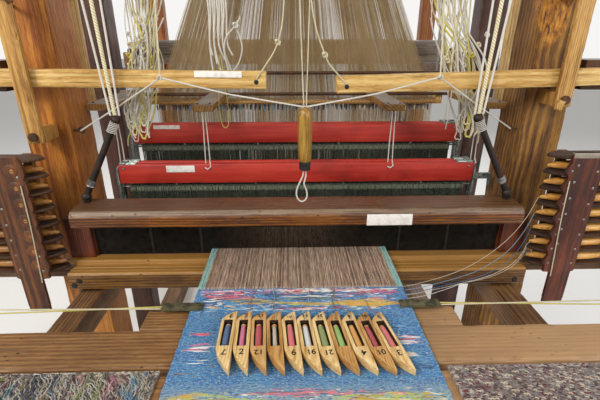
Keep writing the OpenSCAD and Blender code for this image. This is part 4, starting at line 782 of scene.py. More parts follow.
# Comber board, with its holes as dark dots of painted shade on three faces
s = Shape()
s.box((-0.560, -0.030, 1.272), (0.560, 0.060, 1.284), "perf", r=0.002)
for i in range(150):
    x = -0.535 + 1.07 * i / 149
    for y in (-0.0303, 0.0603):
        s.lathe([(0.0001, 0), (0.0021, 0.0001), (0.0021, 0.0004)], (x, y, 1.278 + 0.0022 * (-1) ** i), "black", 6,
                FACING if y < 0 else AWAY)
    for y in (-0.024, -0.004, 0.016, 0.036, 0.054):
        s.lathe([(0.0022, 0), (0.0001, 0.0002)], (x + (0.0035 if y in (-0.004, 0.036) else 0), y, 1.2840), "black", 6)
s.done("comber_board_bored", "frame", ["comber_board"])

# Harness
LEASHES = 240     # in each row


def drawn_in(x):
    """Where a cord at x in the comber board passes the neck board."""
    return x * 0.150 / 0.532


def leash(s, x, y, top_z, mat):
    """A harness cord with its eye, level with the warp, and its weight."""
    nx, ny = drawn_in(x), 0.015 + (y - 0.015) * 0.6
    s.tube([(nx, ny, top_z), (nx, ny, 2.148), (x, y, 1.285), (x, y, 0.9), (x, y, 0.720)], 0.00075, mat, 4)
    bead(s, x, y, (0.720, 0.716, 0.545, 0.541), 0.003, "iron", (0.001, 0.0015))
    bead(s, x, y, (0.905, 0.902, 0.897, 0.894), 0.0019, "brass", (0.0006, 0.0006))


for name, body, rows, top in (("fixed", "frame", (0.025, 0.045), 2.243), ("lifted", "griffe", (-0.015, 0.005), 2.374)):
    s = Shape()
    for i in range(LEASHES):
        for row, y in enumerate(rows):
            x = -0.532 + 1.064 * (i + 0.5 * row) / LEASHES + RND.uniform(-0.001, 0.001)
            rare = "cream" if RND.random() < 0.2 else "brown_cord"
            leash(s, x, y, top, RND.choice(("brown_cord", "brown_cord", "gold_cord", rare)))
            if i % 4 == 0:
                tone = YARNS[RND.choice(("navy", "cream", "black", "sky"))]
                bead(s, x, y, (1.268, 1.264, 1.25, 1.246), 0.0026, tone, (0.0009, 0.0009))
    if name == "fixed":
        for i in range(60):
            nx = drawn_in((2 * i - 59) * 0.009017)
            for y in (0.033,) if i % 2 else (0.027, 0.033):
                bead(s, nx, y, (2.2403, 2.243, 2.268, 2.2703), 0.0026, "brown_cord", (0.001, 0.001))
    s.done("harness_cords_" + name, body, ["harness_" + name])
for node, mat in (("card_cylinder", "brown_x"), ("rocking_bar", "brown_x"), ("treadle", "brown_y")):
    dress(node, mat)

# Warp: threads in ribbons between the reed's dents, lease rods, back rest, beam and upper roller
WARP_STEPS = (-0.701, -0.640, -0.56, -0.47, -0.32, -0.16, 0.0, 0.10, 0.33, 0.40, 0.70, 1.125)
s = Shape()
for i in range(60):
    for j in range(7):
        x = (i - 29.5) * PITCH + (j - 3) * 0.00118
        edge = min(i, 59 - i)
        mat = THREADS[4] if edge < 2 else THREADS[(0, 0, 1, 1, 2, 3, 0, 1, 3, 2)[RND.randrange(10)]]
        a, b = (0.9005, 0.8995) if j % 2 else (0.8995, 0.9005)     # each thread crosses its neighbour at the lease rods
        zs = [0.8995 + (0.0003 if j % 2 else 0), 0.9, 0.9, 0.9, a, b, 0.9, 0.9, a, b, 0.9, 0.8997]
        s.tube([(x, y, z) for y, z in zip(WARP_STEPS, zs)], 0.00052, mat, 4)
s.done("warp_threads", "frame", ["warp_sheet"], angle=80)

s = Shape()
along_x(s, (1.125, 0.87725), -0.755, 0.755, 0.02225, "brown_x", 24)
for rod in ((0.330, 0.9085), (0.400, 0.8915)):
    along_x(s, rod, -0.675, 0.675, 0.008, "pine_x")
s.done("rest_and_lease_rods", "frame", ["back_rest"])

s = Shape()
along_x(s, WARP_BEAM, -0.747, 0.747, 0.016, "iron")
along_x(s, WARP_BEAM, -0.675, 0.675, 0.070, "brown_x", 40)
for i in range(180):
    x = -0.2665 + 0.533 * i / 179
    s.lathe([(0.1165, -0.0014), (0.1192, -0.0004), (0.1192, 0.0006), (0.1165, 0.0014)], (x, *WARP_BEAM),
            THREADS[RND.randrange(4)], 32, ACROSS)
for k in SIDES:
    along_x(s, WARP_BEAM, k * 0.2687, k * 0.2822, 0.160, "brown_z", 56, soft=0.003)
s.done("warp_beam_wound", "warp_beam", ["warp_beam"])

felt = Graph("wound_felt")
bands = felt.mix(felt.span(felt.wave(felt.place(), 9.0, 1.0, "BANDS", "X"), 0.2, 0.8), rgb("f1e8cf"), rgb("c8bc98"))
FELT = felt.done(bands, 0.9, felt.bump(felt.noise(felt.place(), 260.0, 4.0), 0.001), **{"Sheen Weight": 0.3})
s = Shape()
along_x(s, UPPER_ROLLER, -0.747, 0.747, 0.016, "iron")
along_x(s, UPPER_ROLLER, -0.675, 0.675, 0.049, "grey_x", 40)
s.lathe([(0.049, -0.510), (0.0535, -0.509), (0.055, -0.504), (0.0545, -0.30), (0.052, -0.295), (0.052, 0.295),
         (0.0545, 0.30), (0.055, 0.504), (0.0535, 0.509), (0.049, 0.510)], (0, *UPPER_ROLLER), FELT, 48, ACROSS)
for i in range(190):
    x = -0.290 + 0.58 * i / 189
    s.lathe([(0.0520, -0.0012), (0.0538, -0.0004), (0.0538, 0.0004), (0.0520, 0.0012)], (x, *UPPER_ROLLER),
            "brown_cord" if i % 3 else "gold_cord", 28, ACROSS)
s.done("upper_roller_wound", "upper_roller", ["upper_roller"])

# Cloth beam
s = Shape()
along_x(s, CLOTH_BEAM, -0.642, 0.642, 0.016, "iron")
for a, b in ((-0.580, 0.505), (0.535, 0.580)):
    along_x(s, CLOTH_BEAM, a, b, 0.045, "brown_x", 40)
along_x(s, CLOTH_BEAM, 0.504, 0.536, 0.0435, "iron", 40)
s.done("cloth_beam_turned", "cloth_beam", ["cloth_beam"])

# Shuttle boxes, seven to a side
BASE = 0.878                             # underside of the lowest shelf
ROWS = [BASE + i * 0.047 for i in range(8)]
CENTRE = 0.0285                          # middle of a level above its shelf
TONGUE = [(0.678, -0.541), (0.679, -0.5435), (0.688, -0.557), (0.714, -0.575), (1.100, -0.575), (1.100, -0.515),
          (0.714, -0.515), (0.692, -0.527)]
SCALLOP = [math.radians(t) for t in (-88, -60, -30, 0, 30, 60, 88)]
for k, side in ((-1, "left"), (1, "right")):
    s = Shape()
    plate = "carved" if k < 0 else "plate"
    outline = [(0.744, 0.770), (0.744, 0.862), (0.722, 0.864), (0.722, BASE)]
    for z in ROWS[:-1]:
        if k < 0:
            outline += [(0.7195 - 0.0055 * math.cos(a) * 1.1, z + CENTRE + 0.021 * math.sin(a)) for a in SCALLOP]
        else:
            outline += [(0.722, z + 0.004), (0.7135, z + 0.014), (0.7175, z + 0.026), (0.724, z + 0.040)]
    outline += [(0.722, 1.216), (0.724, 1.224), (0.728, 1.2268), (0.806, 1.2268), (0.811, 1.224), (0.8128, 1.218),
                (0.8128, 0.866), (0.8045, 0.862), (0.8045, 0.768)]
    outline = [(k * x, z) for x, z in outline]
    if k > 0:
        outline.reverse()
    s.plate(outline, -0.585, -0.5752, plate, 0.0018)
    for z in ROWS[:-1]:
        c = z + CENTRE
        if k < 0:
            disc = [(0.0001, 0.0028), (0.012, 0.0028), (0.0165, 0.0022), (0.0185, 0.0), (0.0185, -0.002)]
            s.lathe([(r, h * 0.55) for r, h in disc], (k * 0.7455, -0.5851, c), plate, 24, FACING)
            # A paler ring is a painted highlight on the hollow's lit rim; the black centre is painted shade in the
            # hollow.
            s.lathe([(0.0028, 0.0012), (0.0042, 0.002), (0.0058, 0.0012), (0.0058, -0.001)], (k * 0.742, -0.5858, c),
                    "tip_brown", 16, FACING)
            s.lathe([(0.0001, 0.001), (0.0028, 0.0005)], (k * 0.742, -0.5858, c), "black", 12, FACING)
        nails = ((0.733, -0.017), (0.797, -0.012)) if k < 0 else ((0.729, -0.012), (0.742, 0.004), (0.798, -0.014))
        for x, dz in nails:
            s.lathe([(0.0001, 0.0012), (0.0026, 0.0008), (0.0036, 0.0), (0.0036, -0.001)], (k * x, -0.5853, c + dz),
                    "bright", 12, FACING)
    if k > 0:
        side_box(s, k, 0.7235, 0.8125, -0.5868, -0.5752, 1.2125, 1.2268, "grey_x", r=0.002)
    side_box(s, k, 0.744, 0.8045, -0.5845, -0.5755, 0.754 if k > 0 else 0.752, 0.770, plate, r=0.002)
    s.done("box_plate_%s_carved" % side, "drop_box_" + side, ["box_plate_" + side])

    s = Shape()
    tip = [(k * x, y) for x, y in TONGUE]
    if k < 0:
        tip.reverse()
    mid = Vector((k * 0.85, -0.545))
    inset = [Vector(q) + (mid - Vector(q)).normalized() * 0.0015 for q in tip]
    for z in ROWS:
        rings = [(inset, z), (tip, z + 0.0015), (tip, z + 0.0065), (inset, z + 0.008)]
        s.add([Vector((q[0], q[1], h)) for ring, h in rings for q in ring], skin(len(tip), len(rings)), "shelf")
    side_box(s, k, 1.100, 1.112, -0.575, -0.549, BASE, 1.215, "plate", r=0.002)
    for x in (0.730, 1.040):
        side_box(s, k, x, x + 0.026, -0.515, -0.5013, BASE, 1.215, "brown_z", r=0.001)
    s.done("box_shelves_%s_worn" % side, "drop_box_" + side, ["box_shelves_" + side])

    s = Shape()
    for z, bobbin in zip(ROWS, ("cream", "sky", "blue", "white", "olive", "salmon", "grey")):
        z, y, mid = z + 0.0083, -0.547, 0.8145     # underside, and middle in y and x
        verts = []
        for t in range(21):
            u = -1 + t / 10
            w = 0.021 * (1 - abs(u) ** 2.4) + 0.0006
            h = 0.015 * (1 - 0.75 * abs(u) ** 3)
            verts += [(k * (mid + u * 0.1315), y + w * math.cos(a + 0.1), z + 0.015 + h * math.sin(a + 0.1) * 0.995)
                      for a in angles(16)]
        faces = skin(16, 21)
        if k < 0:
            faces = [tuple(reversed(f)) for f in faces]
        s.add(verts, faces, "tip" if k > 0 else "tip_brown")
        for e in (0.684, 0.945):
            s.bar((k * e, y, z + 0.015), (k * (e + (0.012 if e < 0.8 else -0.012)), y, z + 0.015), 0.0014, "brass", 10,
                  r2=0.005)
        s.bar((k * 0.78, y, z + 0.027), (k * 0.86, y, z + 0.027), 0.0038, YARNS[bobbin], 12)
    s.done("box_shuttles_%s_shaped" % side, "drop_box_" + side, ["box_shuttles_" + side])
    dress("picker_" + side, "board")

# Box levers and picking handle
for k, side, tilt, end, mark in ((-1, "left", -0.6, 0.087, 0.114), (1, "right", -1.6, 0.101, 0.130)):
    s = Shape()
    a, b = sorted((k * end, k * 0.925))
    turn = Matrix.Rotation(math.radians(k * tilt), 3, "Y")
    about = (k * 0.880, -0.450, 1.410)
    s.box((a, -0.469, 1.387), (b, -0.431, 1.433), "pine_x", r=0.004, cell=0.010, wear=0.0012, chip=0.003, freq=12,
          turn=turn, about=about)
    hole = turn @ (Vector((k * mark, -0.4695, 1.405)) - Vector(about)) + Vector(about)
    # The hole is a black disc of painted shade.
    s.lathe([(0.0001, 0), (0.0055, 0.0002), (0.0062, 0.0004)], hole + Vector((0, 0.0004, 0)), "black", 14, FACING)
    if k < 0:     # a blank label
        s.box((-0.278, -0.4702, 1.4165), (-0.152, -0.4690, 1.4330), "paper", r=0.0003, turn=turn, about=about)
    s.done("box_lever_%s_worn" % side, "box_lever_" + side, ["box_lever_" + side])

HANDLE = (0.013, -0.585)
s = Shape()
profile = [(0.0001, 0), (0.011, 0.0), (0.0145, 0.002), (0.015, 0.006), (0.0138, 0.010), (0.0148, 0.014), (0.015, 0.020),
           (0.0145, 0.024)]
s.lathe(profile, (*HANDLE, 1.187), "black", 32)
s.lathe([(0.0142, 0.024), (0.0165, 0.029), (0.0172, 0.05), (0.0182, 0.085), (0.0182, 0.11), (0.0177, 0.138),
         (0.0165, 0.147), (0.0135, 0.154), (0.009, 0.159), (0.005, 0.1625), (0.0001, 0.163)], (*HANDLE, 1.187),
        "handle", 40)
s.done("handle_turned", "picking_handle", ["picking_handle"])

# Picking cords, with their rings and knots
s = Shape()
for e, p in ((-1, (-0.353, -0.520, 1.413)), (1, (0.364, -0.520, 1.413))):
    top = (HANDLE[0] + e * 0.010, HANDLE[1], 1.3510)
    mid = (Vector(top) + Vector(p)) / 2 - Vector((0, 0, 0.006))
    s.tube([top, mid, (p[0] - e * 0.004, p[1], p[2])], 0.002, "white", 8)
    s.tube([p, ((p[0] + e * 0.643) / 2, -0.461, 1.331), (e * 0.6415, -0.4005, 1.2533)], 0.0021, "white", 8)
    s.tube([p, (p[0], -0.44, 1.8), (p[0], -0.381, 2.1198)], 0.002, "cream", 8)
    for a in range(3):
        q = Vector(p) + Vector((RND.uniform(-1, 1), RND.uniform(-1, 1), RND.uniform(-1, 1))) * 0.0015
        s.tube([q + Vector((0.005 * math.cos(t + a), 0.0035 * math.sin(2 * t + a), 0.005 * math.sin(t + a)))
                for t in [0.7 * i for i in range(10)]], 0.0015, "white", 6)
    s.tube([(HANDLE[0] + e * 0.003, HANDLE[1], 1.351), (HANDLE[0] + e * 0.02, -0.48, 1.8),
            (HANDLE[0] + e * 0.030, -0.379, 2.1198)], 0.0015, "cream", 6)
s.tube([(HANDLE[0] + 0.008 * math.cos(t), HANDLE[1] + 0.004 * math.sin(t), 1.3505 + 0.0016 * math.sin(3 * t))
        for t in [0.5 * i for i in range(14)]], 0.0016, "white", 6)
s.done("picking_cord_runs", "frame", ["picking_cords"])

s = Shape()
for k in SIDES:
    for dx, z0, r in ((0, 0.0135, 0.005), (-0.026, 0.012, 0.003), (0.026, 0.012, 0.003)):
        a = Vector((k * (0.500 + dx * 0.46), -0.480, 1.300 + z0))
        s.tube([a, (k * (0.500 + dx), -0.51, 1.7), (k * (0.500 + dx), -0.530, 2.1195)], r,
               "white" if r < 0.004 else "cream", 8)
    low, high = Vector((k * 0.612, -0.500, 1.084)), Vector((k * 0.500, -0.480, 1.300))
    way = (high - low).normalized()
    for t0, t1, mat in ((0.035, 0.055, "bright"), (0.205, 0.238, "white")):
        n, step = 70, 0.628     # seven turns
        s.tube([low + way * (t0 + (t1 - t0) * i / n) + Vector((math.cos(i * step), math.sin(i * step) * 0.9,
                                                               -math.cos(i * step) * way.x / way.z)) * 0.0105
                for i in range(n)], 0.0014, mat, 5)
s.done("batten_rope_runs", "batten", ["batten_ropes"])

# Temple cords
s = Shape()
for k in SIDES:
    for dz in (0, 0.008):
        a, b = Vector((k * 0.3385, -0.776 - dz, 0.903)), Vector((k * 0.7832, -0.804 + dz, 0.910 + dz))
        s.tube([a + (b - a) * i / 6 for i in range(7)], 0.0017, "cream" if dz else "yellow", 8)
    s.tube([(k * (0.792 - 0.0105 * math.cos(t)), -0.800 + 0.0105 * math.sin(t), 0.911 + 0.001 * t)
            for t in [0.5 * i for i in range(24)]], 0.0014, "cream", 6)
s.done("temple_cord_runs", "frame", ["temple_cords"])

# Cloth: from the fell over the breast beam and down to its beam; u runs across and v along it, in metres
WIDTH = 0.537
CLOTH = [(-0.7011 - 0.0015 * i, 0.8999) for i in range(296)]
way = Vector((CLOTH_BEAM[0] - BEAM_Y, CLOTH_BEAM[1] - BEAM_Z))
FALL = math.atan2(way.y, way.x) - math.acos((BEAM_R + 0.0003 - 0.0783) / way.length) + 2 * math.pi
CLOTH += arc(BEAM_Y, BEAM_Z, 0.02355, 92, math.degrees(FALL), 30)
last, foot = CLOTH[-1], (CLOTH_BEAM[0] + 0.0801 * math.cos(FALL), CLOTH_BEAM[1] + 0.0801 * math.sin(FALL))
CLOTH += [(last[0] + (foot[0] - last[0]) * i / 60, last[1] + (foot[1] - last[1]) * i / 60) for i in range(1, 61)]


def cloth_mat():
    """The brocade's ground: streaked blues, speckled white towards the weaver, under a fine weave."""
    g = Graph("brocade_ground")
    uv = g.place(source="UV")

    def stretched(x, y, scale, detail=2.0):
        return g.noise(g.place((x, y, 1), source="UV"), scale, detail, 0.6)
    base = g.mix(g.span(stretched(1, 3.5, 14.0, 4.0), 0.30, 0.68), rgb("1a84e6"), rgb("50b2fa"))
    base = g.mix(g.span(stretched(1, 9, 30.0, 3.0), 0.50, 0.66, 0, 0.7), base, rgb("1b539a"))
    base = g.mix(g.span(stretched(1, 4, 95.0, 3.0), 0.50, 0.58, 0, 0.8), base, rgb("9bd6ee"))
    far = g.span(g.axis(uv, 1), 0.295, 0.36)
    fleck = g.span(stretched(1, 2.6, 120.0, 3.0), 0.42, 0.49)
    base = g.mix(g.mul(far, g.mul(fleck, 0.90)), base, rgb("dfeddb"))
    base = g.mix(g.mul(far, g.span(stretched(1, 3, 150.0, 2.0), 0.60, 0.66)), base, rgb("b9b26b"))
    base = g.mix(g.mul(g.span(stretched(1, 1.7, 190.0, 2.0), 0.575, 0.615), 0.8), base, rgb("e2f1f6"))
    base = g.mix(g.mul(g.span(stretched(1, 2.2, 150.0, 2.0), 0.40, 0.36), 0.7), base, rgb("184f98"))
    weft = g.math("SINE", g.mul(g.axis(uv, 1), 2 * math.pi / 0.0021))
    warp = g.math("SINE", g.mul(g.axis(uv, 0), 2 * math.pi / 0.0017))
    weave = g.mul(weft, warp)
    # The weave's hollows take painted shade and its crossings painted highlights.
    base = g.mix(g.span(weave, 0.2, -1.0, 0.0, 0.36), base, rgb("0f4f92"))
    base = g.mix(g.span(weave, 0.3, 1.0, 0.0, 0.32), base, rgb("cde9f4"))
    slub = stretched(0.6, 4, 60.0, 3.0)
    return g.done(base, 0.9, g.bump(g.plus(weave, g.mul(slub, 2.0)), 0.0009), **{"Sheen Weight": 0.06})


NX = 90     # quads across the cloth
verts, faces, uvs = [], [], []
along = [0.0]
for i in range(1, len(CLOTH)):
    along.append(along[-1] + math.dist(CLOTH[i], CLOTH[i - 1]))
for i, (y, z) in enumerate(CLOTH):
    q = (Vector(CLOTH[min(i + 1, len(CLOTH) - 1)]) - Vector(CLOTH[max(i - 1, 0)])).normalized()
    out = Vector((0, -q.y, q.x)) * -1
    way = Vector((0, abs(out.y) * -1 if i > 296 else 0, 1 if i <= 300 else 0))
    for j in range(NX + 1):
        x = -WIDTH / 2 + WIDTH * j / NX
        lift = 0.00035 * noise.noise(Vector((x * 60, along[i] * 160, 0)))
        edge = 0.0006 * math.sin(along[i] * 190) * abs(x) / 0.27
        verts.append(Vector((x + edge, y, z)) + way * (lift - 0.0003))
for i in range(len(CLOTH) - 1):
    for j in range(NX):
        a = i * (NX + 1) + j
        faces.append((a, a + NX + 1, a + NX + 2, a + 1))
        u0, u1, v0, v1 = j / NX * WIDTH, (j + 1) / NX * WIDTH, along[i], along[i + 1]
        uvs.append([(u0, v0), (u0, v1), (u1, v1), (u1, v0)])
CLOTH_MAT = cloth_mat()
cloth = Shape().add(verts, faces, CLOTH_MAT, uvs).done("brocade_sheet", "frame", ["brocade_cloth"], angle=80)


def on_cloth(v):
    """Point and outward way of the cloth at a length v from the fell."""
    for i in range(len(along) - 1):
        if along[i + 1] >= v:
            t = (v - along[i]) / (along[i + 1] - along[i])
            y, z = (CLOTH[i][k] + (CLOTH[i + 1][k] - CLOTH[i][k]) * t for k in (0, 1))
            d = Vector((CLOTH[i + 1][0] - CLOTH[i][0], CLOTH[i + 1][1] - CLOTH[i][1])).normalized()
            return Vector((0, y, z)), Vector((0, d.y, -d.x))
    return Vector((0, *CLOTH[-1])), Vector((0, -1, 0))


floats = Shape()
UNDER = (0.098, 0.325)     # the brocade shuttles lie on this length of the cloth


def float_yarn(x, v, length, mat, width, high):
    """A short weft float lying across the cloth."""
    if abs(x) > 0.262 - length / 2:
        return
    p, out = on_cloth(v)
    d = Vector((0, out.z, -out.y))
    n = 4
    verts = []
    for i in range(n + 1):
        t = -1 + 2 * i / n
        w = width * (0.35 + 0.65 * (1 - t * t))
        c = p + Vector((x + t * length / 2, 0, 0)) + d * (0.0006 * math.sin(3 * t + x * 90)) - out * 0.0002
        crest = high * (1 - 0.6 * t * t)
        verts += [c - d * w / 2, c - d * w * 0.3 + out * crest, c + d * w * 0.3 + out * crest, c + d * w / 2]
    corners = [i * 4 + k for i in range(n) for k in range(3)]
    floats.add(verts, [(a, a + 1, a + 5, a + 4) for a in corners], mat)


def patch(x, v, wide, deep, colours, share, lean, seed, shape):
    """A field of floats: rows of broken weft in a leaf or a bar."""
    r = random.Random(seed)
    rows = int(deep / 0.0023)
    for i in range(rows):
        t = -1 + 2 * (i + 0.5) / rows
        half = wide / 2 * ((1 - abs(t) ** 1.6) if shape == "leaf" else r.uniform(0.7, 1.0))
        c = x + lean * t * wide / 2
        q = c - half
        while q < c + half:
            size = r.uniform(0.018, 0.05) if shape == "leaf" else r.uniform(0.010, 0.042)
            size = min(size, max(c + half - q, 0.006))
            mid, row = q + size / 2, v + t * deep / 2
            if r.random() < share and not (abs(mid) < 0.205 and UNDER[0] < row < UNDER[1]):
                float_yarn(mid, row + r.uniform(-0.0004, 0.0004), size * 1.02, YARNS[r.choice(colours)],
                           r.uniform(0.0017, 0.0026), r.uniform(0.0004, 0.0008))
            q += size


# Across, along, width, depth, colours, share of the weft that floats, lean, kind
LAYOUT = [
    (-0.20, 0.022, 0.12, 0.030, ("pink", "red", "wine", "pink"), 0.75, 0.2, "bar"),
    (0.19, 0.020, 0.14, 0.026, ("red", "pink", "white", "red"), 0.7, -0.2, "bar"),
    (0.00, 0.028, 0.22, 0.030, ("navy", "grey", "navy", "white"), 0.75, 0.1, "leaf"),
    (0.16, 0.066, 0.18, 0.034, ("mustard", "mustard", "orange"), 0.9, 0.2, "leaf"),
    (-0.13, 0.052, 0.16, 0.022, ("mustard", "brown", "olive"), 0.75, 0.1, "leaf"),
    (0.03, 0.084, 0.20, 0.014, ("red", "wine", "pink"), 0.7, 0.0, "leaf"),
    (-0.22, 0.058, 0.06, 0.040, ("navy", "blue", "white"), 0.5, 0.0, "bar"),
    (0.07, 0.010, 0.18, 0.014, ("white", "cream"), 0.6, 0.1, "bar"),
    (-0.19, 0.345, 0.14, 0.034, ("lime", "lime", "mustard"), 0.95, 0.2, "leaf"),
    (0.16, 0.345, 0.24, 0.020, ("lime", "mustard", "lime"), 0.9, -0.1, "leaf"),
    (-0.02, 0.332, 0.16, 0.020, ("pink", "mauve", "salmon"), 0.75, 0.1, "leaf"),
    (0.02, 0.372, 0.30, 0.016, ("lime", "mustard"), 0.7, 0.1, "leaf"),
    (0.205, 0.196, 0.15, 0.034, ("red", "white", "white", "pink"), 0.92, 0.25, "leaf"),
    (-0.200, 0.214, 0.15, 0.030, ("white", "pink", "white"), 0.92, 0.2, "leaf"),
    (-0.16, 0.415, 0.16, 0.022, ("white", "cream", "lime"), 0.7, 0.2, "leaf"),
    (0.18, 0.405, 0.12, 0.020, ("white", "sky", "pink"), 0.6, 0.0, "bar"),
    (0.06, 0.012, 0.30, 0.014, ("pink", "red", "white", "cream"), 0.62, 0.2, "bar"),
    (-0.12, 0.016, 0.26, 0.018, ("white", "pink", "salmon", "red"), 0.5, -0.1, "bar"),
    (-0.17, 0.040, 0.14, 0.014, ("pink", "red", "wine"), 0.55, 0.3, "bar"),
    (0.13, 0.036, 0.22, 0.010, ("white", "sky", "pink"), 0.45, 0.1, "bar"),
    (0.02, 0.046, 0.20, 0.016, ("navy", "grey", "navy", "olive"), 0.62, 0.0, "leaf"),
    (-0.06, 0.062, 0.24, 0.012, ("mustard", "olive", "mustard"), 0.8, 0.2, "leaf"),
    (0.10, 0.070, 0.27, 0.020, ("mustard", "mustard", "orange", "lime"), 0.88, 0.3, "leaf"),
    (-0.19, 0.078, 0.09, 0.012, ("orange", "mustard", "sky"), 0.4, 0.0, "bar"),
    (0.01, 0.087, 0.42, 0.010, ("white", "sky", "cream"), 0.4, 0.1, "bar"),
    (0.20, 0.052, 0.07, 0.018, ("red", "orange", "pink"), 0.5, 0.1, "bar"),
    (-0.212, 0.172, 0.13, 0.012, ("red", "pink", "wine"), 0.85, 0.2, "leaf"),
    (0.214, 0.158, 0.12, 0.010, ("navy", "grey", "sky"), 0.75, -0.2, "leaf"),
    (0.216, 0.242, 0.12, 0.012, ("cream", "white", "sky"), 0.8, 0.1, "leaf"),
    (-0.216, 0.252, 0.12, 0.010, ("sky", "white"), 0.7, 0.0, "leaf"),
    (-0.237, 0.285, 0.05, 0.012, ("navy", "grey"), 0.5, 0.0, "bar"),
    (0.236, 0.275, 0.05, 0.012, ("navy", "sky"), 0.5, 0.0, "bar"),
    (0.05, 0.336, 0.30, 0.012, ("pink", "salmon", "mauve"), 0.5, 0.2, "bar"),
    (-0.14, 0.350, 0.19, 0.020, ("lime", "olive", "mustard"), 0.88, 0.2, "leaf"),
    (0.13, 0.356, 0.20, 0.016, ("lime", "mustard", "cream"), 0.75, -0.2, "leaf"),
    (0.0, 0.378, 0.34, 0.008, ("pink", "wine", "white"), 0.35, 0.0, "bar"),
    (-0.05, 0.402, 0.42, 0.020, ("white", "cream", "sky"), 0.3, 0.0, "bar"),
    (0.09, 0.425, 0.25, 0.018, ("lime", "olive"), 0.6, 0.2, "leaf"),
    (-0.10, 0.470, 0.30, 0.040, ("white", "sky", "cream"), 0.4, 0.0, "bar"),
    (0.07, 0.530, 0.28, 0.030, ("pink", "red", "white"), 0.5, 0.0, "bar"),
    (-0.08, 0.600, 0.26, 0.030, ("mustard", "olive", "lime"), 0.8, 0.1, "leaf"),
    (0.10, 0.660, 0.24, 0.026, ("navy", "grey"), 0.6, 0.0, "leaf"),
]
for i, (x, v, wide, deep, colours, share, lean, kind) in enumerate(LAYOUT):
    patch(x, v, wide, deep, colours, share, lean, i + 3, kind)
for i in range(1100):
    x, v = RND.uniform(-0.255, 0.255), RND.uniform(0.003, 0.45)
    float_yarn(x, v + 0.235 if UNDER[0] < v < UNDER[1] else v, RND.uniform(0.005, 0.018),
               YARNS[RND.choice(("sky", "white", "blue", "navy", "sky", "cream", "pink", "white"))], 0.0016, 0.0005)
brocade = floats.done("brocade_floats", "frame", angle=80)

# Roll of cloth on its beam, which turns with it
n = 120
TURN = 0.49     # metres of cloth in a turn
rings = [(-0.2685, 0.060), (-0.2685, 0.0765), (-0.267, 0.0779)]
rings += [(-0.265 + 0.53 * i / 40, 0.0779) for i in range(41)] + [(-x, r) for x, r in reversed(rings)]
verts = [(x, CLOTH_BEAM[0] + r * math.cos(a), CLOTH_BEAM[1] + r * math.sin(a)) for x, r in rings for a in angles(n)]
uvs = []
for (x0, _), (x1, _) in zip(rings, rings[1:]):
    for k in range(n):
        u0, u1, v0, v1 = x0 + 0.27, x1 + 0.27, TURN * k / n, TURN * (k + 1) / n
        uvs.append([(u0, v0), (u0, v1), (u1, v1), (u1, v0)])
Shape().add(verts, skin(n, len(rings), caps=False), CLOTH_MAT, uvs).done("cloth_roll", "cloth_beam")

# Brocade shuttles: one straight side, deep wells, quills wound with yarn, plain numbers
NUMBERS = ("7", "2", "12", "", "9", "16", "21", "", "4", "10", "3")
QUILLS = (("navy", 8.0), ("pink", 6.4), ("red", 8.3), ("cream", 5.0), ("salmon", 7.7), ("white", 7.2), ("olive", 8.4),
          ("green", 7.6), ("orange", 7.4), ("red", 6.8), ("salmon", 7.5))
# Quill yarns are lighter copies of the weft yarns, as painted light against the shade of the deep wells.
WOUND = yarns("quill_", 0.2, 9.0, (
    ("navy", "2a63a4", "183d6c"), ("pink", "ff84ac", "d45a84"), ("red", "e01c2e", "a01222"),
    ("cream", "fff6e4", "ddcdaa"), ("salmon", "ff7c7c", "d84e54"), ("white", "ffffff", "dedcd2"),
    ("olive", "9dab46", "6c782c"), ("green", "b2dc66", "7cac40"), ("orange", "ffb932", "dc8c1a")))
INK = metal("number_ink", "17120f", "2a211b", 0.7, 0.3, 0.0)
L, W, H = 0.180, 0.033, 0.022     # length, width and height of a shuttle
WELL_FACES = (4, 5, 6)            # the sides of its profile that lie in the well


def middle(i):
    """Middle of the i-th shuttle, on the cloth."""
    return -0.165 + i * 0.0346, -0.906 - 0.0012 * i, 0.9003


def write(shape, text, size, put):
    """Plain digits, flat on a surface."""
    font = bpy.data.curves.new("digits", "FONT")
    font.body, font.size, font.align_x, font.align_y = text, size, "CENTER", "CENTER"
    font.offset = 0.0004
    tmp = bpy.data.objects.new("digits", font)
    bpy.context.scene.collection.objects.link(tmp)
    bpy.context.view_layer.update()
    ink = bpy.data.meshes.new_from_object(tmp.evaluated_get(bpy.context.evaluated_depsgraph_get()))
    shape.add([put @ v.co for v in ink.vertices], [tuple(p.vertices) for p in ink.polygons], INK)
    bpy.data.objects.remove(tmp)


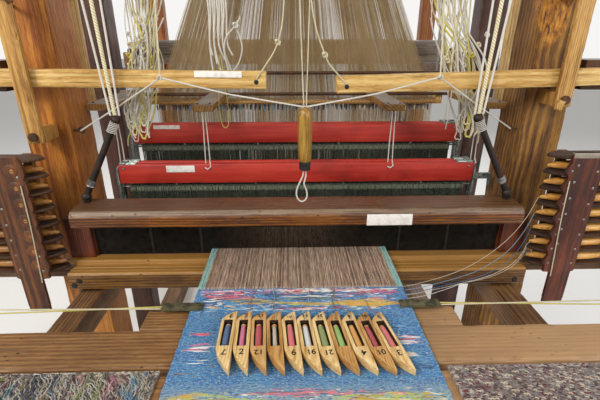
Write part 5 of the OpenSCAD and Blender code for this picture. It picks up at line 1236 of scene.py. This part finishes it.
s = Shape()
for i in range(11):
    at = Matrix.Translation(middle(i)) @ Matrix.Rotation(math.radians(91 + 0.9 * i), 4, "Z")
    mat = "boxwood2" if i in (2, 3, 7, 9) else "boxwood"
    n = 36
    ts = sorted(set([-0.9985 + 1.997 * k / n for k in range(n + 1)] + [-0.30, -0.295, 0.61, 0.605, -0.35, 0.62]))
    verts = []
    for t in ts:
        drawn = ((-t - 0.35) / 0.65) ** 1.55 if t < -0.35 else ((t - 0.62) / 0.38) ** 1.6 if t > 0.62 else 0.0
        left, right = W / 2 - (W - 0.0012) * drawn, -W / 2
        mid, wide = (left + right) / 2, (left - right) / 2
        well = min(0.0096 if -0.2975 < t < 0.6075 else 0.0, wide * 0.62)
        lift = 0.004 * max(0, abs(t) - 0.55) ** 1.5 * 3
        top = H - 0.006 * max(0, abs(t) - 0.6) ** 2 * 4
        x, floor_z = t * L / 2, 0.0042
        arris = wide - min(0.0012, wide * 0.2)
        bed = floor_z if well > 0.002 else top
        prof = [(-wide * 0.9, lift), (-wide, 0.004 + lift), (-wide, top - 0.0012), (-arris, top), (-well, top),
                (-well * 0.97, bed)]
        prof += [(well * 0.97, bed), (well, top), (arris, top), (wide, top - 0.0012), (wide, 0.005 + lift),
                 (wide * 0.8, lift)]
        verts += [at @ Vector((x, mid + a, b)) for a, b in prof]
    m = len(prof)
    faces = [tuple(reversed(f)) for f in skin(m, len(ts))]
    walls = list(enumerate(faces[:-2]))
    s.add(verts, [f for k, f in walls if k % m not in WELL_FACES] + faces[-2:], mat)
    # The well's faces take the dark painted shade.
    s.add(verts, [f for k, f in walls if k % m in WELL_FACES], "well")
    z = H * 0.61
    tone, fat = QUILLS[i]     # radius in millimetres
    path = [at @ Vector((-0.0255 + 0.066 * k / 34, 0, z)) for k in range(35)]
    r = []
    for k in range(35):
        end, ridge, fall = 0.6 if k in (0, 34) else 1, 0.98 + 0.02 * math.sin(k * 2.2), 1 - 0.14 * max(0, k - 22) / 12
        r.append(fat / 1000 * end * ridge * fall)
    s.tube(path, fat / 1000, WOUND[tone], 16, r)
    for a, b, radius, metal_or_wood, sides in (
            ((0.0405, 0, z), (0.0440, 0, z), 0.0062, "boxwood2", 14),
            ((0.0440, 0, z), (0.0535, 0, z), 0.0022, "iron", 10),
            ((0.0535, -0.0065, z + 0.002), (0.0535, 0.0065, z + 0.002), 0.0016, "iron", 8),
            ((0.0615, -0.0035, H - 0.0025), (0.0615, -0.0035, H + 0.0002), 0.0022, "bright", 12)):
        s.bar(at @ Vector(a), at @ Vector(b), radius, metal_or_wood, sides)
    for x, y, size in ((0.0700, -0.0040, 0.0150), (-0.0440, -0.0015, 0.0215)):
        if NUMBERS[i]:
            turn = Matrix.Rotation(math.radians(-90 if i % 2 else 90), 4, "Z")
            put = at @ Matrix.Translation((x, y, H + 0.00015)) @ turn
            write(s, NUMBERS[i], size if len(NUMBERS[i]) == 1 else size * 0.88, put)
s.done("brocade_shuttles_shaped", "frame", ["brocade_shuttles"])

# Loose weft from each shuttle's eye to the fell, lying on the cloth
s = Shape()
for i, tone in ((1, "pink"), (3, "cream"), (5, "white"), (7, "olive"), (8, "mustard"), (10, "salmon")):
    x, y, _ = middle(i)
    x0, y0 = x - 0.052 * math.sin(math.radians(1 + 0.9 * i)) + 0.003, y + 0.052
    x1 = x0 + (-0.035, 0.02, -0.03, -0.01, -0.028, 0.015)[(i * 5) % 6]
    pts = [(x0, y0, 0.9236), (x0 + 0.001, y0 + 0.010, 0.9240), (x0 + 0.001, y0 + 0.022, 0.9236),
           (x0, y0 + 0.036, 0.9205), (x0 - 0.002, y0 + 0.046, 0.910)]
    for k in range(1, 15):
        t = k / 14
        x = x0 - 0.002 + (x1 - x0) * t + 0.007 * math.sin(t * 6.5 + i) * (1 - t)
        pts.append((x, y0 + 0.046 + (-0.703 - y0 - 0.046) * t, 0.9014 + 0.0075 * (1 - t) ** 6))
    s.tube(pts, 0.0007, YARNS[tone], 6)
s.done("quill_yarns", "frame")

# Loose weft yarns from the boxes and the loop of the handle, along the routes of their solids, in millimetres
ROUTES = [
    [(681, -547, 1090), (675, -552, 1087), (666, -560, 1079), (654, -571, 1068), (634, -586, 1046), (610, -599, 1020),
     (582, -611, 994), (550, -622, 970), (516, -632, 949), (480, -643, 932), (442, -654, 919), (404, -665, 911),
     (366, -676, 906), (328, -687, 903), (296, -697, 902), (270, -704, 902)],
    [(681, -547, 1043), (675, -553, 1040), (666, -561, 1032), (654, -572, 1020), (634, -587, 999), (609, -603, 976),
     (580, -618, 954), (548, -631, 936), (513, -644, 923), (477, -657, 913), (440, -669, 908), (403, -681, 905),
     (367, -693, 904), (332, -705, 903), (298, -714, 902), (270, -720, 902)],
    [(681, -547, 996), (675, -553, 993), (666, -562, 985), (654, -574, 974), (633, -591, 955), (607, -609, 937),
     (577, -627, 923), (544, -643, 913), (509, -658, 907), (473, -672, 904), (436, -685, 903), (400, -697, 903),
     (365, -709, 903), (331, -720, 903), (299, -730, 902), (270, -737, 902)],
]
LOOP = [(10, -585, 1186.5), (8, -586, 1172), (3, -587, 1160), (-3, -588, 1147), (-8, -589, 1133), (-9, -590, 1119),
        (-5, -590, 1107), (3, -590, 1100), (12, -590, 1102), (18, -590, 1111), (19, -589, 1124), (15, -588, 1138),
        (11, -588, 1150), (14, -587, 1162), (16, -586, 1174), (15, -585, 1186.5)]


def smooth(points, per=4):
    """A smooth curve through the points, after Catmull and Rom."""
    p = [Vector(q) for q in points]
    p = [2 * p[0] - p[1]] + p + [2 * p[-1] - p[-2]]
    out = []
    for i in range(1, len(p) - 2):
        for k in range(per):
            t = k / per
            a, b, c, d = p[i - 1:i + 3]
            square, cube = 2 * a - 5 * b + 4 * c - d, 3 * b - a - 3 * c + d
            out.append(0.5 * (2 * b + (c - a) * t + square * t * t + cube * t ** 3))
    return out + [p[-2]]


def in_metres(route):
    return [tuple(c / 1000 for c in q) for q in route]


def free_cord(name, route, r, mat, body, node):
    """A limp cord that hangs between two pieces, in place of its CAD node."""
    pts = smooth(in_metres(route))
    obj = Shape().tube(pts, r, mat, 8).done(name, body, [node])


for i, tone in enumerate(("cream", "sky", "blue")):
    node = "weft_yarn_%d" % (i + 1)
    free_cord(node + "_spun", ROUTES[i], 0.0008, YARNS[tone], "batten", node)
s = Shape()
for dz, dy, tone in ((-52, -3, "white"), (-66, 2, "cream")):
    route = [(681 - 2 * dy, -547, 996 + dz), (675, -553, 993 + dz), (664, -564, 984 + dz), (649, -579, 972 + dz * 0.9),
             (627, -598, 958 + dz * 0.8), (598, -618, 946 + dz * 0.7), (566, -638, 936 + dz * 0.55),
             (532, -656, 927 + dz * 0.42), (498, -671, 919 + dz * 0.28), (464, -684, 912 + dz * 0.15), (430, -696, 905),
             (397, -708 + dy, 903), (363, -720 + 2 * dy, 902.5), (330, -731 + 3 * dy, 902.5),
             (299, -741 + 3 * dy, 902.5), (266, -748 + 3 * dy, 902.5)]
    s.tube(smooth(in_metres(route)), 0.0008, YARNS[tone], 6)
s.done("weft_yarns_low", "batten")
free_cord("handle_loop_twisted", LOOP, 0.002, "white", "picking_handle", "handle_loop")

# Pads on the breast beam: a shaggy textile on the left, a woven rug on the right
FLAT = [-0.983 - 0.16065 * i / 26 for i in range(1, 27)]
PAD = [(-0.979, 0.8980), (-0.979, 0.9035), (-0.983, 0.9045)] + [(y, 0.9046) for y in FLAT]
PAD += arc(BEAM_Y, BEAM_Z, 0.0296, 88, 180, 12) + [(-1.1732, 0.8770)]
PAD += reversed([(-0.979, 0.8979)] + [(y, 0.8982) for y in FLAT] + arc(BEAM_Y, BEAM_Z, 0.0218, 88, 180, 12))


def round_edge(y, r):
    """Height at y of a cylinder of radius r about the beam's round edge."""
    return BEAM_Z + math.sqrt(max(r ** 2 - (y - BEAM_Y) ** 2, 0))


def rug_mat(name, tones):
    """Pile of a few mixed tones."""
    g = Graph(name)
    block = g.noise(g.place((1, 0.4, 0.4)), 45.0, 3.0)
    pick = g.wave(g.place(), 55.0, 2.5, "BANDS", "DIAGONAL", 2.0, 2.0)
    cell = g.axis(g.cells(g.place((1, 1.8, 1.8)), 190.0, out="Color"), 0)
    tone = g.ramp(cell, [(0.15 + 0.7 * i / (len(tones) - 1), rgb(c)) for i, c in enumerate(tones)])
    tone = g.mix(g.span(block, 0.45, 0.6, 0, 0.5), tone, rgb(tones[0]))
    return g.done(tone, 0.95, g.bump(g.plus(cell, pick), 0.0015), **{"Sheen Weight": 0.3})


for name, k, tones in (("shaggy", -1, ("3a3133", "8d8177", "d8ceba", "b3a58e")),
                       ("rug", 1, ("4e2226", "8a7f78", "c9c2b4", "6b3a3e", "a59c90"))):
    n = 128
    verts = []
    a, b = sorted((k * 0.285, k * 0.800))
    for i in range(n + 1):
        x = a + (b - a) * i / n
        for j, (y, z) in enumerate(PAD):
            fine, coarse = noise.noise(Vector((x * 150, y * 150, z * 150))), noise.noise(Vector((x * 30, y * 30, 4)))
            dip = 0 if j in (0, 1) or j > 41 else 0.0016 * (0.5 + 0.5 * fine) + 0.0014 * (0.5 + 0.5 * coarse)
            verts.append((x, y + dip, z - 0.3 * dip) if y < -1.15 else (x, y, z - dip))
    pad = Shape().add(verts, skin(len(PAD), n + 1), rug_mat("pad_" + name, tones))
    pad.done("breast_pad_" + name, "frame", ["breast_pads"])

s = Shape()
COLOURS = ("cream", "white", "cream", "taupe", "white", "black", "olive", "lime", "pink", "wine", "sky", "mauve",
           "mustard", "navy")
for i in range(1500):
    x, y = RND.uniform(-0.795, -0.292), RND.uniform(-1.165, -0.988)
    zone = noise.noise(Vector((x * 9, y * 5, 0)))
    plain = RND.random() < 0.62
    tone = YARNS[RND.choice(COLOURS[:6]) if plain else COLOURS[int(6 + 7.9 * min(max(0.5 + zone, 0), 1))]]
    lean = RND.uniform(-0.9, 0.3) + 0.6 * noise.noise(Vector((x * 6, 0, 9)))
    length = RND.uniform(0.02, 0.055)
    pts = []
    for t in range(6):
        q = length * (t / 5 - 0.5)
        py = min(max(y + q * math.cos(lean), -1.168), -0.984)
        px = min(max(x + q * math.sin(lean) + 0.002 * math.sin(t * 2 + i), -0.797), -0.289)
        high = 0.0052 * math.sin(math.pi * t / 5) * RND.uniform(0.3, 1.0)
        pz = 0.9046 + high if py > BEAM_Y else round_edge(py, 0.0292) + high * 0.5
        pts.append((px, py, pz - 0.001))
    s.tube(pts, 0.0009, tone, 4)
s.done("shaggy_yarns", "frame", angle=80)
s = Shape()
for i in range(1500):
    row, col = divmod(i, 75)
    x, y = 0.292 + 0.0066 * col + (0.003 if row % 2 else 0) + RND.uniform(-0.001, 0.001), -0.990 - 0.0088 * row
    if y < -1.166:
        continue
    tone = YARNS[RND.choice(("cream", "grey", "taupe", "wine", "grey", "black", "cream", "brown"))]
    z = 0.9040 if y > BEAM_Y else round_edge(y, 0.0290)
    s.tube([(x - 0.0035, y + 0.001, z - 0.001), (x - 0.0015, y + 0.0004, z + 0.0010),
            (x + 0.0015, y - 0.0004, z + 0.0011), (x + 0.0035, y - 0.001, z - 0.001)], 0.0013, tone, 4)
s.done("rug_loops", "frame", angle=80)


# Cords that hang from the front top beam, in bunches

def hanging(shape, points, r, mat, wave=0.0):
    """A cord that hangs through the points and waves a little below its top."""
    pts = smooth(points, 8)
    sway = [Vector((math.sin(p.z * 31 + r * 9e3), math.cos(p.z * 23 + r * 7e3), 0)) for p in pts]
    shape.tube([p + q * wave * min((pts[0].z - p.z) * 4, 1) for p, q in zip(pts, sway)], r, mat, 6)


# The cords' x at four heights of each bunch, from the beam to the foot: start, width and how much they are mixed
BUNCHES = (("left", ((-0.460, 0.080, 0), (-0.474, 0.094, 0), (-0.492, 0.090, 5.3), (-0.520, 0.070, 3.7))),
           ("right", ((0.374, 0.080, 0), (0.374, 0.108, 0), (0.430, 0.126, 4.7), (0.492, 0.078, 3.3))))
for name, widths in BUNCHES:
    s = Shape()
    for i in range(23):
        t = i / 22
        a, b, c, d = (start + wide * ((t * mixed) % 1 if mixed else t) for start, wide, mixed in widths)
        tone = ("white", "cream", "white", "yellow", "white", "cream", "cream")[i % 7]
        y, foot = -0.347 + 0.006 * math.sin(i * 2.1), 1.215 + 0.09 * ((i * 0.37) % 1)
        points = [(a, y, 2.1195), (a, y, 1.85), (b, y, 1.604), (c, y - 0.004, 1.430), (d, y, foot + 0.04),
                  (d + 0.004, y, foot)]
        if i % 3 == 0:
            points += [(d + 0.012, y - 0.004, foot - 0.006), (d + 0.020, y, foot + 0.010), (c + 0.010, y + 0.004, 1.40),
                       (b + 0.006, y, 1.56)]
        hanging(s, points, 0.0015 + 0.0004 * (i % 4), tone, 0.0045)
        if i % 2:
            knot(s, (c, y - 0.005, 1.430 + 0.10 * ((i * 0.43) % 1)), 0.0055, tone)
    s.done("hanging_cords_" + name, "frame")
s = Shape()
for i in range(9):
    x = -0.252 + 0.0062 * i
    hanging(s, [(x + 0.01, -0.347, 2.1195), (x, -0.347, 1.8), (x, -0.348, 1.604), (x + 0.003 * (-1) ** i, -0.347, 1.50),
                (x + 0.002 * i, -0.347, 1.400 + 0.012 * ((i * 5) % 7))], 0.0024, "white", 0.004)
for side in SIDES:
    hanging(s, [(-0.149, -0.350, 2.1195), (-0.149, -0.350, 1.80), (-0.150, -0.350, 1.604), (-0.163, -0.350, 1.559),
                (-0.175, -0.352, 1.540), (-0.184 + 0.018 * side, -0.350, 1.512), (-0.186 + 0.026 * side, -0.350, 1.480),
                (-0.190 + 0.018 * side, -0.350, 1.440), (-0.200, -0.350, 1.405)], 0.0021, "white")
knot(s, (-0.175, -0.353, 1.540), 0.0065, "white")
hanging(s, [(-0.228, -0.347, 1.46), (-0.234, -0.345, 1.38), (-0.240, -0.342, 1.31), (-0.236, -0.339, 1.262),
            (-0.226, -0.338, 1.247), (-0.215, -0.339, 1.262), (-0.213, -0.342, 1.315), (-0.219, -0.345, 1.39),
            (-0.223, -0.347, 1.462)], 0.0014, "yellow")
hanging(s, [(-0.505, -0.345, 1.30), (-0.515, -0.343, 1.25), (-0.530, -0.343, 1.215), (-0.534, -0.342, 1.192)], 0.0014,
        "yellow")
hanging(s, [(0.562, -0.345, 1.33), (0.570, -0.343, 1.26), (0.577, -0.342, 1.215), (0.577, -0.342, 1.192)], 0.0014,
        "cream")
s.done("hanging_cords_middle", "frame")

LEVER_CORDS = (
    ("left", ((-0.030, -0.382, 2.1195), (-0.033, -0.40, 1.85), (-0.037, -0.455, 1.595), (-0.054, -0.470, 1.497),
              (-0.088, -0.4712, 1.440), (-0.114, -0.4708, 1.406))),
    ("right", ((0.028, -0.382, 2.1195), (0.030, -0.40, 1.85), (0.033, -0.455, 1.595), (0.069, -0.470, 1.466),
               (0.102, -0.4712, 1.420), (0.130, -0.4708, 1.392))),
)
for side, points in LEVER_CORDS:
    s = Shape()
    hanging(s, points, 0.0019, "cream")
    knot(s, points[3], 0.006, "cream")
    cord = s.done("lever_cord_" + side, None)
    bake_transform(cord)

for side, line in (("right", ((0.727, 1.150), (0.731, 1.050), (0.738, 0.950), (0.743, 0.885), (0.745, 0.851))),
                   ("left", ((-0.728, 1.150), (-0.731, 1.050), (-0.737, 0.950), (-0.741, 0.885), (-0.743, 0.853)))):
    route = smooth([(x, -0.5878, z) for x, z in line])
    Shape().tube(route, 0.0014, "cream", 6).done("plate_cord_" + side, "drop_box_" + side)

# Paper labels, left blank
for name, body, lo, hi, r in (("rear", "shaft_3", (-0.500, -0.1878, 1.2115), (-0.409, -0.1860, 1.2245), 0.0003),
                              ("front", "shaft_1", (-0.424, -0.3462, 1.1050), (-0.333, -0.3448, 1.1270), 0.0003),
                              ("rail", "batten", (0.188, -0.5762, 1.019), (0.316, -0.5742, 1.0525), 0.0004)):
    Shape().box(lo, hi, "paper", r=r).done("blank_label_" + name, body)

# Peg in the left post
s = Shape()
s.bar((-0.747, -0.406, 1.584), (-0.700, -0.500, 1.590), 0.0045, "rust", 10)
s.bar((-0.7475, -0.4955, 1.6105), (-0.690, -0.4955, 1.588), 0.0035, "rust", 10)
s.done("iron_peg", "frame")

# Stage
floor = Graph("pale_floor")
FLOOR = floor.done((0.86, 0.85, 0.83), 0.9)
me = bpy.data.meshes.new("floor")
me.from_pydata([(-30, -30, 0), (30, -30, 0), (30, 30, 0), (-30, 30, 0)], [], [(0, 1, 2, 3)])
me.materials.append(FLOOR)
ground = bpy.data.objects.new("floor", me)
bpy.context.scene.collection.objects.link(ground)

world = bpy.data.worlds.new("studio")
bpy.context.scene.world = world
world.use_nodes = True
t = world.node_tree
t.nodes.clear()
path, soft, seen, pick, out = (t.nodes.new("ShaderNode" + kind) for kind in ("LightPath", "Background", "Background",
                                                                             "MixShader", "OutputWorld"))
for sky, colour, strength in ((soft, (1.0, 0.98, 0.96, 1), 0.42), (seen, (0.93, 0.92, 0.90, 1), 1.0)):
    sky.inputs[0].default_value, sky.inputs[1].default_value = colour, strength
both_ways = t.nodes.new("ShaderNodeMath")
both_ways.operation = "MAXIMUM"
for source, sink in ((path.outputs["Is Camera Ray"], both_ways.inputs[0]),
                     (path.outputs["Is Glossy Ray"], both_ways.inputs[1]),
                     (both_ways.outputs[0], pick.inputs[0]), (soft.outputs[0], pick.inputs[1]),
                     (seen.outputs[0], pick.inputs[2]), (pick.outputs[0], out.inputs[0])):
    t.links.new(source, sink)


def lamp(name, at, to, size, power, tint=(1, 1, 1)):
    """A square area light at a place, aimed at another."""
    data = bpy.data.lights.new(name, "AREA")
    data.shape, data.size, data.energy, data.color = "SQUARE", size, power, tint
    obj = bpy.data.objects.new(name, data)
    obj.location = at
    obj.rotation_euler = (Vector(to) - Vector(at)).to_track_quat("-Z", "Y").to_euler()
    bpy.context.scene.collection.objects.link(obj)


lamp("key", (-2.6, -3.4, 4.0), (0, -0.4, 1.0), 1.6, 165, (1.0, 0.97, 0.92))
lamp("fill", (3.2, -3.0, 2.8), (0, -0.4, 1.0), 2.2, 70, (0.95, 0.97, 1.0))
lamp("back", (0.6, 3.6, 3.6), (0, 0, 1.2), 2.4, 120)
